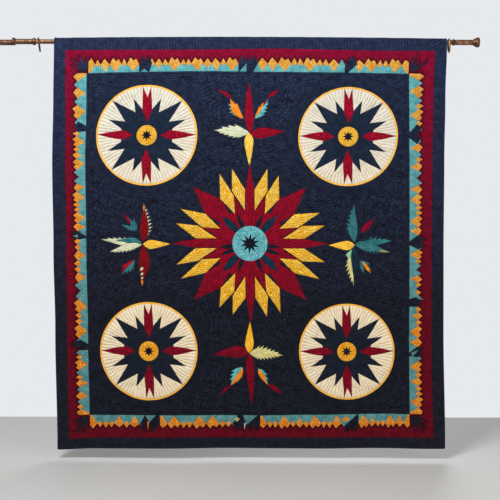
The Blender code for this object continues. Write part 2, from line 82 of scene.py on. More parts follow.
def linear(code: str) -> Colour:
    """Turn a screen colour such as d8c7a4 into the linear light of a shader.

    Args:
        code: six hexadecimal digits.

    Returns:
        Red, green and blue from 0 to 1.
    """
    shares = [int(code[start:start + 2], 16) / 255.0 for start in (0, 2, 4)]
    return tuple(((share + 0.055) / 1.055) ** 2.4 if share > 0.04045 else share / 12.92 for share in shares)


def smooth(low: float, high: float, value: np.ndarray) -> np.ndarray:
    """Ease from 0 at low to 1 at high.

    Args:
        low: value where the ease starts.
        high: value where it ends.
        value: the places.

    Returns:
        The eased shares.
    """
    share = np.clip((value - low) / (high - low), 0.0, 1.0)
    return share * share * (3.0 - 2.0 * share)


def polar(centre: Point, radius: float, bearing: float) -> Point:
    """A place at a distance and a bearing, in degrees clockwise from straight up."""
    angle = math.radians(bearing)
    return centre[0] + radius * math.sin(angle), centre[1] - radius * math.cos(angle)


def nearest_tree(places: np.ndarray) -> KDTree:
    """A search tree of flat places."""
    tree = KDTree(len(places))
    for index, (x, y) in enumerate(places):
        tree.insert((x, y, 0.0), index)
    tree.balance()
    return tree


def summed(count: int, corners: np.ndarray, values: np.ndarray) -> np.ndarray:
    """Add up at each place what its triangles give it.

    Args:
        count: how many places there are.
        corners: the triangles.
        values: one row for each triangle, or one for each of its corners along the second axis.

    Returns:
        The sums.
    """
    total = np.zeros((count, *values.shape[2:]))
    for column in range(3):
        np.add.at(total, corners[:, column], values[:, column])
    return total


def put(name: str, data: bpy.types.ID) -> bpy.types.Object:
    """Make an object of data and link it to the scene."""
    made = bpy.data.objects.new(name, data)
    bpy.context.scene.collection.objects.link(made)
    return made


def put_mesh(name: str, builder: bmesh.types.BMesh, material: bpy.types.Material) -> bpy.types.Object:
    """Make an object of a finished bmesh and free it."""
    mesh = bpy.data.meshes.new(name)
    builder.normal_update()
    builder.to_mesh(mesh)
    builder.free()
    mesh.materials.append(material)
    return put(name, mesh)


def mark(mesh: bpy.types.Mesh, name: str, values: np.ndarray) -> None:
    """Store a number for each of a mesh's places."""
    layer = mesh.attributes.new(name, "FLOAT", "POINT")
    layer.data.foreach_set("value", values.astype(np.float32))


@dataclass(frozen=True)
class Hang:
    """How the flat quilt hangs: over the rod, down the front, and as a hem behind.

    A flat place is so far across from the middle and so far along from the rod's front:
    positive runs down the face, and negative over the rod and then down the hem.
    """

    width: float = 2.030
    drop: float = 2.118
    hem: float = 0.085
    reach: float = 0.0142
    crown_end: float = 0.0142
    crown_rise: float = 0.0080
    back_gap: float = 0.0012
    arc: float = 0.0620
    billow: float = 0.0100
    waves: tuple[tuple[float, float, float], ...] = (
        (1.37, 0.80, 0.0085), (0.74, 2.30, 0.0050), (0.41, 4.10, 0.0022),
    )
    side_edges: tuple[tuple[float, float, float], ...] = (
        (0.000, -1.0215, 1.0222), (0.300, -1.0245, 1.0140), (0.620, -1.0296, 1.0085),
        (1.090, -1.0219, 1.0052), (1.500, -1.0121, 1.0052), (2.118, -1.0004, 1.0150),
    )
    lower_edge: tuple[tuple[float, float], ...] = (
        (-1.015, 2.1265), (-0.800, 2.1180), (-0.300, 2.1155),
        (0.250, 2.1175), (0.700, 2.1135), (1.015, 2.1150),
    )

    def eased(self, rows: tuple, place: np.ndarray, column: int) -> np.ndarray:
        """Read a table's column at places, eased between its rows.

        Args:
            rows: the table, whose first column is the place.
            place: the places asked for.
            column: the column to read.

        Returns:
            The values.
        """
        table = np.array(rows)
        index = np.clip(np.searchsorted(table[:, 0], place, side="right") - 1, 0, len(rows) - 2)
        share = smooth(0.0, 1.0, (place - table[index, 0]) / (table[index + 1, 0] - table[index, 0]))
        return table[index, column] + (table[index + 1, column] - table[index, column]) * share

    def spread(self, across: np.ndarray, down: np.ndarray) -> tuple[np.ndarray, np.ndarray]:
        """X and Z of a flat place once its edges have pulled in and out."""
        left = self.eased(self.side_edges, down, 1)
        right = self.eased(self.side_edges, down, 2)
        x = left + (across / self.width + 0.5) * (right - left)
        return x, -down * self.eased(self.lower_edge, across, 1) / self.drop

    def back(self, across: np.ndarray, down: np.ndarray) -> np.ndarray:
        """Y of the cloth's back, with soft waves that grow downwards."""
        share = np.clip(down / self.drop, 0.0, 1.0)
        wave = sum(depth * np.sin(2.0 * np.pi * across / length + shift)
                   for length, shift, depth in self.waves)
        swell = self.billow * np.sin(np.pi * share) * np.cos(1.3 * across)
        return -self.reach + wave * share ** 1.3 - swell

    def lay(self, across: np.ndarray, along: np.ndarray, lift: np.ndarray) -> np.ndarray:
        """Hang flat places.

        Args:
            across: places from the middle, to the right.
            along: places from the rod's front, down the face or back over the rod.
            lift: height above the cloth's back.

        Returns:
            The places in space, one row each.
        """
        front_x, front_z = self.spread(across, np.maximum(along, 0.0))
        front_y = self.back(across, np.maximum(along, 0.0)) - lift
        turn = np.pi * np.clip(-along / self.arc, 0.0, 1.0)
        ends = np.minimum(1.0, np.abs(across) / (self.width / 2))
        crown = self.crown_end + self.crown_rise * np.maximum(0.0, np.cos(0.5 * np.pi * ends)) ** 0.8
        behind = np.maximum(-along - self.arc, 0.0)
        flap_x, flap_z = self.spread(across, behind)
        closed = self.back(across, behind) + self.back_gap
        flap_y = self.reach + (closed - self.reach) * smooth(0.0, 0.8 * self.hem, behind) + lift
        over = along < 0.0
        flap = along < -self.arc
        x = np.where(over, np.where(flap, flap_x, self.spread(across, np.zeros_like(along))[0]), front_x)
        y = np.where(over, np.where(flap, flap_y, -(self.reach + lift) * np.cos(turn)), front_y)
        z = np.where(over, np.where(flap, flap_z, (crown + lift) * np.sin(turn)), front_z)
        return np.stack([x, y, z], axis=1)


class Marks(Enum):
    """How a patch is quilted."""

    FIELD = "echo lines by the seams and stipple beyond"
    BAND = "short slanting lines"
    ALONG = "lines along the patch"
    RADIAL = "lines from a centre"
    PLAIN = "stipple alone"


@dataclass(frozen=True)
class Stitching:
    """Quilting of one patch: its kind, its pitch in metres, and its centre or bearing."""

    marks: Marks = Marks.PLAIN
    pitch: float = 0.008
    centre: Point = (0.0, 0.0)
    bearing: float = 0.0
    count: int = 0
    wander: float = 0.9


@dataclass
class Patch:
    """One patch of the quilt's face, as an outline in flat metres."""

    outline: list[Point]
    cloth: str
    piece: str
    puff: float = 0.0020
    stitching: Stitching = field(default_factory=Stitching)

    def wound(self) -> list[Point]:
        """The outline, anticlockwise in its own two axes."""
        following = self.outline[1:] + self.outline[:1]
        area = sum(x * next_y - next_x * y for (x, y), (next_x, next_y) in zip(self.outline, following))
        return self.outline if area > 0.0 else self.outline[::-1]


@dataclass(frozen=True)
class Medallion:
    """A compass medallion: a gold rim, a cream ground, a blue star and four crimson points."""

    name: str
    centre: Point
    radius: float
    rim: float = 0.036
    ground_lines: int = 84
    hub: float = 0.200
    hub_star: float = 0.112
    spokes: int = 72
    rays: tuple[Point, ...] = (
        (10.3, 0.52), (20.5, 0.775), (27.0, 0.51), (45.0, 0.975), (58.0, 0.51), (67.8, 0.825), (75.7, 0.52),
    )
    swallow: tuple[Point, ...] = (
        (0.0, 0.265), (0.100, 0.485), (0.070, 0.965), (0.004, 0.755), (-0.092, 0.960), (-0.096, 0.485),
    )
    spear: tuple[Point, ...] = (
        (0.260, 0.0), (0.452, 0.102), (0.70, 0.072), (0.975, 0.010), (0.70, -0.055), (0.466, -0.090),
    )

    def circle(self, share: float, steps: int) -> list[Point]:
        """A ring of places at a part of the radius."""
        return [polar(self.centre, share * self.radius, 360.0 * step / steps) for step in range(steps)]

    def local(self, rows: list[Point]) -> list[Point]:
        """Places from parts of the radius, to the right and up."""
        return [(self.centre[0] + right * self.radius, self.centre[1] - up * self.radius)
                for right, up in rows]

    def star_outline(self) -> list[Point]:
        """The blue star's outline, one quarter mirrored round."""
        bearings = []
        for turn, mirrored in ((0.0, False), (180.0, True), (180.0, False), (360.0, True)):
            rows = [(turn - bearing if mirrored else turn + bearing, share) for bearing, share in self.rays]
            bearings.extend(reversed(rows) if mirrored else rows)
        return [polar(self.centre, share * self.radius, bearing) for bearing, share in bearings]

    def patches(self) -> list[Patch]:
        """All its patches, lowest first."""
        ground = Stitching(Marks.RADIAL, centre=self.centre, count=self.ground_lines)
        spokes = Stitching(Marks.RADIAL, centre=self.centre, count=self.spokes)
        laid = [
            Patch(self.circle(1.0, 180), "gold rim", self.name, 0.0022),
            Patch(self.circle(1.0 - self.rim, 180), "cream ground", self.name, 0.0022, ground),
            Patch(self.star_outline(), "compass blue", self.name, 0.0028, spokes),
        ]
        for points, bearing in (
            (self.swallow, 0.0), ([(-right, -up) for right, up in self.swallow], 180.0),
            (self.spear, 90.0), ([(-right, up) for right, up in self.spear], 270.0),
        ):
            lines = Stitching(Marks.ALONG, pitch=0.0105, centre=self.centre, bearing=bearing, wander=1.6)
            laid.append(Patch(self.local(points), "crimson", self.name, 0.0028, lines))
        laid.append(Patch(self.circle(self.hub, 40), "hub gold", self.name, 0.0030))
        points = [
            polar(self.centre, self.radius * self.hub_star * (1.0 if step % 2 == 0 else 0.5), 22.5 * step)
            for step in range(16)
        ]
        laid.append(Patch(points, "night blue", self.name, 0.0012))
        return laid


@dataclass(frozen=True)
class GreatStar:
    """The great star in the middle: crimson points, pairs of yellow diamonds and a teal hub."""

    name: str = "quilt_star"
    centre: Point = (0.008, 1.052)
    unit: float = 1.0 / 192.0
    diagonals: tuple[float, ...] = (45.0, 135.0, 225.0, 315.0)
    reach: float = 79.8
    disc: float = 36.0
    disc_lines: int = 60
    hub: float = 17.5
    hub_star: Point = (10.2, 4.6)
    hub_turn: float = 4.0
    inner_diamond: tuple[tuple[float, float], ...] = ((8.4, 33.5), (5.1, 54.3), (18.7, 55.0))
    outer_diamond: tuple[tuple[float, float], ...] = ((26.6, 33.0), (18.5, 50.6), (33.5, 53.2))
    tips: tuple[tuple[float, float, float, float], ...] = (
        (13.3, 76.8, 22.9, 73.8), (13.3, 76.8, 23.3, 75.9),
        (13.9, 76.8, 27.0, 77.7), (13.6, 76.8, 23.9, 76.2),
        (14.2, 73.4, 26.0, 71.4), (12.6, 74.6, 23.4, 75.4),
        (15.1, 76.2, 26.5, 76.7), (16.1, 76.6, 27.0, 77.7),
    )
    night_points: tuple[tuple[float, float], ...] = (
        (24.0, 32.5), (336.5, 33.5), (156.0, 32.5), (203.5, 31.0),
        (97.0, 30.5), (110.5, 32.0), (262.0, 31.0), (248.5, 31.5),
    )

    def ring(self, rows: list[Point]) -> list[Point]:
        """Places from bearings and distances in units."""
        return [polar(self.centre, distance * self.unit, bearing) for bearing, distance in rows]

    def lines(self, bearing: float, pitch: float = 0.0115, wander: float = 1.1) -> Stitching:
        """Quilting lines along a bearing."""
        return Stitching(Marks.ALONG, pitch=pitch, centre=self.centre, bearing=bearing, wander=wander)

    def patches(self) -> list[Patch]:
        """All its patches, lowest first."""
        disc = self.ring([(9.0 * step, self.disc) for step in range(40)])
        spokes = Stitching(Marks.RADIAL, centre=self.centre, count=self.disc_lines)
        laid = [Patch(disc, "star crimson", self.name, 0.0026, spokes)]
        for bearing in self.diagonals:
            kite = [(0.0, 8.0), (-11.5, 53.0), (0.0, self.reach), (11.5, 53.0)]
            rows = [(bearing + turn, distance) for turn, distance in kite]
            laid.append(Patch(self.ring(rows), "star crimson", self.name, 0.0034, self.lines(bearing)))
        for quarter in range(4):
            for sign in (-1.0, 1.0):
                base = 90.0 * quarter
                row = 2 * quarter + (0 if sign > 0.0 else 1)
                inner_turn, inner_tip, outer_turn, outer_tip = self.tips[row]
                short = [(base + sign * 8.5, 30.0), (base + sign * 18.5, 50.6), (base + sign * 26.5, 30.0)]
                laid.append(Patch(self.ring(short), "star crimson", self.name, 0.0026,
                                  self.lines(base + sign * 18.5)))
                for corners, tip in ((self.inner_diamond, (inner_turn, inner_tip)),
                                     (self.outer_diamond, (outer_turn, outer_tip))):
                    diamond = (corners[0], corners[1], tip, corners[2])
                    rows = [(base + sign * turn, distance) for turn, distance in diamond]
                    laid.append(Patch(self.ring(rows), "star yellow", self.name, 0.0036,
                                      self.lines(base + sign * tip[0], 0.0100, 1.2)))
        for quarter in range(4):
            bearing = 90.0 * quarter
            half = [(1.0, 14.0), (8.3, 30.5), (4.6, 54.5)]
            spear = [(-turn, distance) for turn, distance in half] + [(0.0, 80.0)] + half[::-1]
            rows = [(bearing + turn, distance) for turn, distance in spear]
            laid.append(Patch(self.ring(rows), "star crimson", self.name, 0.0030,
                              self.lines(bearing, 0.0105)))
        for bearing in self.diagonals:
            leaf = [(-6.0, 15.0), (-9.0, 22.0), (-7.5, 30.0), (-1.0, 39.0),
                    (5.0, 31.0), (8.5, 23.0), (6.0, 15.0)]
            rows = [(bearing + turn, distance) for turn, distance in leaf]
            laid.append(Patch(self.ring(rows), "deep teal", self.name, 0.0026, self.lines(bearing)))
        for bearing, distance in self.night_points:
            rows = [(bearing - 5.5, 15.0), (bearing - 5.6, 23.0), (bearing, distance), (bearing + 5.6, 23.0),
                    (bearing + 5.5, 15.0)]
            laid.append(Patch(self.ring(rows), "night blue", self.name, 0.0020, self.lines(bearing)))
        hub = self.ring([(8.0 * step, self.hub) for step in range(45)])
        laid.append(Patch(hub, "hub teal", self.name, 0.0034))
        tips = [(18.0 * step + self.hub_turn, self.hub_star[step % 2]) for step in range(20)]
        laid.append(Patch(self.ring(tips), "night blue", self.name, 0.0012))
        return laid


@dataclass(frozen=True)
class Side:
    """One side of the border in strip places: run from corner to corner, and 0 to 1 outwards."""

    inner: tuple[Point, ...]
    outer: tuple[Point, ...]
    upright: bool
    peak: float
    valley: float

    def place(self, run: float, out: float) -> Point:
        """The flat place of a strip place."""
        low, high = (np.interp(run, *zip(*edge)) for edge in (self.inner, self.outer))
        level = low + (high - low) * out
        return (float(level), run) if self.upright else (run, float(level))


SIDES = {
    "top": Side(
        ((-0.843, 0.1675), (-0.52, 0.160), (-0.26, 0.156), (0.05, 0.158), (0.55, 0.1625), (0.8235, 0.167)),
        ((-0.957, 0.0475), (-0.30, 0.0435), (0.15, 0.0375), (0.68, 0.0480), (0.953, 0.047)),
        False, 0.60, 0.35),
    "bottom": Side(
        ((-0.843, 1.943), (0.0, 1.947), (0.3, 1.942), (0.832, 1.938)),
        ((-0.954, 2.065), (-0.80, 2.061), (0.0, 2.061), (0.955, 2.061)),
        False, 0.565, 0.385),
    "left": Side(
        ((0.1675, -0.843), (1.943, -0.843)),
        ((0.047, -0.957), (0.566, -0.947), (1.139, -0.949), (1.868, -0.955), (2.065, -0.954)),
        True, 0.61, 0.43),
    "right": Side(
        ((0.167, 0.8235), (0.6, 0.835), (1.1, 0.838), (1.938, 0.832)),
        ((0.047, 0.953), (0.6, 0.953), (1.139, 0.952), (1.868, 0.951), (2.061, 0.955)),
        True, 0.565, 0.40),
}


def strip_patch(side: str, rows: list[Point], cloth: str, puff: float, stitching: Stitching) -> Patch:
    """A patch of the border, from places in millimetres along a side and shares of its depth."""
    outline = [SIDES[side].place(run * MM, out) for run, out in rows]
    return Patch(outline, cloth, "quilt_border", puff, stitching)


TOOTH_WIDTHS = {"h": 0.75, "b": 1.0, "w": 1.35, "m": 0.85, "s": 0.6, "t": 0.6, "v": 0.5}
TOOTH_TIPS = {"b": 0.03, "w": 0.03, "m": 0.14, "s": 0.26}


@dataclass(frozen=True)
class ToothRun:
    """One run of the sawtooth border between two notches, in millimetres along its side.

    Its teeth are named by letters and share out its length by their kinds' widths: h is a half
    diamond at an end, b a big diamond, w a big one with two peaks, m and s smaller ones, t a teal
    tooth, and v a crimson one that points inwards.
    """

    side: str
    start: float
    end: float
    teeth: str
    pitch: float = 0.0105

    def patches(self) -> list[Patch]:
        """The teal strip of the run and the teeth on it."""
        side = SIDES[self.side]
        draw = random.Random(int(1000 + self.start))
        unit = (self.end - self.start) / sum(TOOTH_WIDTHS[kind] for kind in self.teeth)
        ends = [self.start]
        for kind in self.teeth:
            ends.append(ends[-1] + unit * TOOTH_WIDTHS[kind])
        strip = [(end, 0.0) for end in ends] + [(end, side.valley) for end in reversed(ends)]
        laid = [self.patch(strip, "border teal", 0.0018)]
        for index, kind in enumerate(self.teeth):
            low, high = ends[index], ends[index + 1]
            wide = high - low
            place = low + (0.5 + draw.uniform(-0.08, 0.08)) * wide
            peak = side.peak + draw.uniform(-0.03, 0.03)
            if kind == "v":
                foot = side.valley + 0.02
                rows = [(low, foot), (place, 0.30), (high, foot)]
                laid.append(self.patch(rows, "border crimson", 0.0018))
                continue
            if kind == "t":
                rows = [(low, side.valley), (place, peak - 0.03), (high, side.valley)]
                laid.append(self.patch(rows, "border teal", 0.0018))
                continue
            single = [(low, side.valley), (low + (0.46 + draw.uniform(-0.08, 0.08)) * wide, peak),
                      (high, side.valley)]
            twin = [(low, side.valley), (low + 0.27 * wide, peak + 0.03), (low + 0.53 * wide, peak - 0.12),
                    (low + 0.75 * wide, peak - 0.02), (high, side.valley)]
            if kind == "h" and index == 0:
                rows = [(low, 0.02), (low, 0.46), (low + 0.40 * wide, peak + 0.02), (high, side.valley),
                        (low + 0.30 * wide, 0.02)]
            elif kind == "h":
                rows = [(low, side.valley), (low + 0.55 * wide, peak), (high, 0.50), (high, 0.02),
                        (high - 0.30 * wide, 0.02)]
            else:
                rows = (twin if kind == "w" else single) + [(place, TOOTH_TIPS[kind])]
            laid.append(self.patch(rows, "border gold", 0.0026))
        return laid

    def patch(self, rows: list[Point], cloth: str, puff: float) -> Patch:
        """A patch of the run, quilted in slanting lines."""
        return strip_patch(self.side, rows, cloth, puff, Stitching(Marks.BAND, pitch=self.pitch))


TOOTH_RUNS = (
    ToothRun("top", -835, -573, "hsbwsw"),
    ToothRun("top", -520, -60, "smswsswmbsw"),
    ToothRun("top", 40, 490, "bbwsswssbt"),
    ToothRun("top", 512, 820, "tbwsswh"),
    ToothRun("bottom", -842, -552, "hsssbsbt"),
    ToothRun("bottom", -474, -70, "hwsswwsst"),
    ToothRun("bottom", 50, 560, "hsswsmswssbttt"),
    ToothRun("bottom", 564, 830, "wmsswbh"),
    ToothRun("left", 168, 440, "htbtwt"),
    ToothRun("left", 470, 988, "swsmwtvtbwsswb"),
    ToothRun("left", 1026, 1573, "ssbssbtvtwsswt"),
    ToothRun("left", 1606, 1942, "tswtsbtbtsh"),
    ToothRun("right", 167, 470, "htwtswst"),
    ToothRun("right", 505, 1037, "tbtsbtvtbwsswbt"),
    ToothRun("right", 1062, 1340, "twstvtbsvst"),
    ToothRun("right", 1380, 1620, "smswbt"),
    ToothRun("right", 1636, 1938, "twsbsswh"),
)


@dataclass(frozen=True)
class Notch:
    """A navy leaf across the border where its run breaks, in millimetres along its side.

    Its neck leaves the field, and its head spreads its tips evenly, each leaning to a share of its
    own width.
    """

    side: str
    neck: Point
    head: Point
    tips: int
    reach: float = 0.76
    lean: float = 0.5
    root: float = -0.06
    shoulder: float = 0.38
    valley: float = 0.46

    def patch(self) -> Patch:
        """The leaf's patch."""
        low, high = self.head
        step = (high - low) / self.tips
        rows = [(self.neck[0], self.root), (self.neck[0], 0.03), (low, self.shoulder)]
        for tip in range(self.tips):
            rows.append((low + (tip + self.lean) * step, self.reach - 0.05 * (tip % 2)))
            if tip + 1 < self.tips:
                rows.append((low + (tip + 1) * step, self.valley))
        rows += [(high, self.shoulder), (self.neck[1], 0.03), (self.neck[1], self.root)]
        return strip_patch(self.side, rows, "field navy", 0.0022, Stitching(Marks.FIELD, pitch=0.0088))


@dataclass(frozen=True)
class Chip:
    """A small triangle by a notch: its base and level, its apex, and a depth if it is a diamond."""

    side: str
    cloth: str
    base: Point
    level: float
    apex: Point
    depth: float = 0.0

    def patch(self) -> Patch:
        """The chip's patch."""
        rows = [(self.base[0], self.level), self.apex, (self.base[1], self.level)]
        if self.depth > 0.0:
            rows.append((self.apex[0], self.level - self.depth))
        return strip_patch(self.side, rows, self.cloth, 0.0022, Stitching())


NOTCHES = (
    Notch("top", (-573, -520), (-566, -506), 2),
    Notch("top", (-60, 18), (-60, 42), 3, 0.72),
    Notch("top", (490, 512), (492, 556), 1, 0.76, 0.6),
    Notch("bottom", (-556, -550), (-578, -544), 1),
    Notch("bottom", (-494, -474), (-532, -474), 1, 0.74, 0.25),
    Notch("bottom", (-68, 51), (-94, 50), 4, 0.70),
    Notch("bottom", (556, 562), (488, 563), 2, 0.80, 0.4, shoulder=0.50, valley=0.56),
    Notch("left", (440, 470), (418, 473), 1, 0.58, 0.5),
    Notch("left", (1012, 1026), (986, 1031), 2, 0.80, 0.4),
    Notch("left", (1573, 1606), (1552, 1600), 1, 0.86, 0.45),
    Notch("right", (472, 505), (430, 536), 2, 0.52, 0.45, shoulder=0.34, valley=0.36),
    Notch("right", (1038, 1062), (1008, 1082), 2, 0.70, 0.5, valley=0.52),
    Notch("right", (1340, 1380), (1330, 1378), 2, 0.54, 0.5, shoulder=0.28, valley=0.44),
    Notch("right", (1618, 1636), (1584, 1642), 2, 0.62, 0.6),
)


CHIPS = (
    Chip("top", "border teal", (-566, -526), 0.0, (-547, 0.15)),
    Chip("top", "border teal", (-55, -18), 0.0, (-19, 0.35)),
    Chip("top", "border teal", (18, 42), 0.0, (41, 0.36)),
    Chip("bottom", "border teal", (-553, -494), 0.0, (-529, 0.30)),
    Chip("bottom", "border gold", (-541, -531), 0.28, (-538, 0.68)),
    Chip("bottom", "border teal", (-40, 36), 0.0, (-22, 0.43)),
    Chip("bottom", "leaf straw", (-88, -57), 0.18, (-72, 0.30), 0.10),
    Chip("bottom", "leaf cream", (-35, -24), 0.36, (-35, 0.66)),
    Chip("bottom", "border gold", (477, 518), 0.20, (495, 0.36), 0.12),
    Chip("left", "border teal", (1003, 1023), 0.42, (1013, 0.66)),
    Chip("left", "border teal", (986, 1014), 0.0, (990, 0.38)),
    Chip("right", "border teal", (1326, 1340), 0.38, (1343, 0.66)),
    Chip("right", "border teal", (1618, 1644), 0.10, (1604, 0.42)),
)


@dataclass(frozen=True)
class Leaf:
    """An appliquéd leaf or feather in flat millimetres.

    It grows from its base to its tip. Its half widths are to the left and right of a walk along
    it, and a number of barbs may stand on either edge.
    """

    cloth: str
    base: Point
    tip: Point
    left: float
    right: float
    widest: float = 0.32
    barbs: tuple[int, int] = (0, 0)
    bite: float = 0.66
    taper: float = 1.25
    puff: float = 0.0034
    first_barb: float = 0.06
    barbed_share: float = 0.90
    overhang: float = 0.15
    undercut: float = 0.10
    crest: float = 1.06
    bare_tip: float = 0.97

    def edge(self, half: float, barbs: int) -> list[Point]:
        """One edge as shares of the length and distances from the axis.

        Args:
            half: the half width.
            barbs: how many barbs stand on the edge.

        Returns:
            Places from the base to the tip, both left out.
        """
        if barbs == 0:
            shares = [step / 12.0 for step in range(1, 12)]
            return [(share, half * self.profile(share)) for share in shares]
        rows = []
        for barb in range(barbs):
            low, high = (self.first_barb + self.barbed_share * end / barbs for end in (barb, barb + 1))
            peak = self.crest * half * self.profile(0.5 * (low + high))
            rows.append((low, self.bite * half * self.profile(low)))
            rows.append((high + self.overhang * (high - low), peak))
            rows.append((high - self.undercut * (high - low), self.bite * half * self.profile(high)))
        return [row for row in rows if row[0] < self.bare_tip]

    def profile(self, share: float) -> float:
        """The leaf's width at a share of its length, as a part of its widest."""
        if share < self.widest:
            return math.sin(0.5 * math.pi * share / self.widest) ** 0.75
        rest = (share - self.widest) / (1.0 - self.widest)
        return max(0.0, 1.0 - rest ** self.taper)

    def patch(self) -> Patch:
        """The leaf's patch, quilted along its length."""
        run = (self.tip[0] - self.base[0], self.tip[1] - self.base[1])
        length = math.hypot(*run)
        ahead = (run[0] / length, run[1] / length)
        aside = (ahead[1], -ahead[0])

        def spot(share: float, off: float) -> Point:
            """The flat place at a share of the length and a distance from the axis."""
            return ((self.base[0] + run[0] * share + aside[0] * off) * MM,
                    (self.base[1] + run[1] * share + aside[1] * off) * MM)

        rows = [spot(0.0, 0.0)]
        if self.left > 0.0:
            rows.extend(spot(share, off) for share, off in self.edge(self.left, self.barbs[0]))
        rows.append(spot(1.0, 0.0))
        if self.right > 0.0:
            rows.extend(spot(share, -off) for share, off in reversed(self.edge(self.right, self.barbs[1])))
        bearing = math.degrees(math.atan2(ahead[0], -ahead[1]))
        lines = Stitching(Marks.ALONG, pitch=0.0075, centre=spot(0.0, 0.0), bearing=bearing)
        return Patch(rows, self.cloth, "quilt_sprigs", self.puff, lines)


LEAVES = (
    Leaf("crimson", (9, 480), (-3, 219), 26, 18, 0.30, taper=2.2),
    Leaf("leaf yellow", (1, 474), (7, 654), 24, 24, 0.27),
    Leaf("leaf cream", (3, 478), (-179, 463), 31, 37, 0.34, (7, 5), bite=0.80),
    Leaf("crimson", (8, 484), (188, 469), 31, 27, 0.32),
    Leaf("leaf cyan", (-34, 398), (-100, 300), 40, 0, 0.45, (6, 0)),
    Leaf("leaf orange", (-30, 403), (-99, 298), 29, 15, 0.50, (0, 3)),
    Leaf("crimson", (-88, 292), (-171, 247), 11, 11, 0.25, (0, 2)),
    Leaf("leaf cyan", (30, 402), (99, 298), 0, 32, 0.30, (0, 6)),
    Leaf("leaf orange", (30, 400), (97, 300), 16, 3, 0.40, (4, 0)),
    Leaf("crimson", (68, 340), (100, 292), 6, 5, 0.40, (2, 0)),
    Leaf("crimson", (92, 294), (159, 247), 14, 14, 0.38, (2, 2)),
    Leaf("crimson", (-2, 1620), (-190, 1630), 24, 40, 0.30),
    Leaf("leaf straw", (0, 1624), (177, 1633), 45, 30, 0.30, (8, 9)),
    Leaf("crimson", (-1, 1622), (8, 1898), 23, 21, 0.22, taper=1.8),
    Leaf("leaf yellow", (-1, 1622), (5, 1457), 23, 23, 0.30),
    Leaf("leaf cyan", (-36, 1697), (-102, 1791), 26, 38, 0.30, (3, 5)),
    Leaf("leaf orange", (-36, 1699), (-104, 1794), 22, 4, 0.45),
    Leaf("crimson", (-98, 1786), (-174, 1853), 12, 11, 0.30, (2, 2)),
    Leaf("leaf cyan", (46, 1702), (95, 1786), 26, 8, 0.28, (4, 0)),
    Leaf("leaf orange", (45, 1704), (95, 1788), 15, 15, 0.42, (2, 0)),
    Leaf("crimson", (92, 1786), (167, 1838), 20, 8, 0.45),
    Leaf("leaf cream", (-538, 1034), (-538, 850), 0, 40, 0.34, (0, 9), bite=0.30),
    Leaf("leaf maroon", (-545, 1048), (-540, 858), 20, 27, 0.40),
    Leaf("leaf orange", (-542, 885), (-542, 843), 6, 7, 0.35, (2, 2)),
    Leaf("leaf cream", (-552, 1058), (-768, 1030), 22, 25, 0.36, (0, 7)),
    Leaf("leaf teal", (-550, 1055), (-690, 1037), 6, 27, 0.38),
    Leaf("leaf cream", (-553, 1060), (-723, 1097), 19, 23, 0.42, (8, 0)),
    Leaf("leaf maroon", (-551, 1060), (-555, 1256), 42, 17, 0.50),
    Leaf("leaf cream", (-546, 1176), (-563, 1196), 6, 8, 0.45),
    Leaf("leaf cream", (-547, 1204), (-562, 1220), 6, 6, 0.45),
    Leaf("leaf cream", (-549, 1226), (-560, 1240), 5, 5, 0.45),
    Leaf("leaf orange", (-554, 1240), (-555, 1272), 6, 6, 0.40),
    Leaf("leaf yellow", (-548, 1057), (-406, 1056), 22, 25, 0.30),
    Leaf("leaf teal", (-580, 984), (-600, 922), 4, 10, 0.45),
    Leaf("leaf teal", (-580, 984), (-628, 915), 12, 10, 0.45),
    Leaf("leaf teal", (-580, 984), (-660, 954), 12, 9, 0.50),
    Leaf("crimson", (-610, 953), (-647, 896), 8, 8, 0.30),
    Leaf("leaf teal", (-592, 1138), (-662, 1212), 30, 3, 0.42, (5, 0)),
    Leaf("leaf red", (-594, 1138), (-670, 1208), 3, 21, 0.45, (0, 3)),
    Leaf("leaf teal", (552, 1048), (547, 850), 42, 17, 0.40, (8, 0)),
    Leaf("leaf teal", (553, 1056), (750, 1036), 28, 22, 0.36, (7, 0)),
    Leaf("leaf teal", (555, 1060), (725, 1092), 22, 27, 0.45, (0, 8)),
    Leaf("leaf straw", (676, 1086), (739, 1097), 2, 10, 0.30, (0, 6), bite=0.30),
    Leaf("deep teal", (566, 1044), (640, 1030), 14, 2, 0.50),
    Leaf("leaf mint", (542, 1082), (528, 1150), 5, 42, 0.55, (0, 2)),
    Leaf("leaf straw", (524, 1118), (548, 1274), 10, 29, 0.30, (0, 7), bite=0.40),
    Leaf("deep teal", (551, 1058), (549, 1240), 17, 17, 0.35),
    Leaf("leaf yellow", (553, 1060), (417, 1060), 27, 22, 0.30),
    Leaf("crimson", (588, 993), (653, 921), 17, 15, 0.38),
    Leaf("leaf teal", (580, 1140), (602, 1213), 9, 10, 0.50),
    Leaf("leaf teal", (582, 1140), (640, 1190), 9, 8, 0.55),
    Leaf("leaf teal", (584, 1142), (637, 1161), 5, 7, 0.60),
    Leaf("leaf orange", (591, 1145), (636, 1206), 9, 8, 0.60),
)


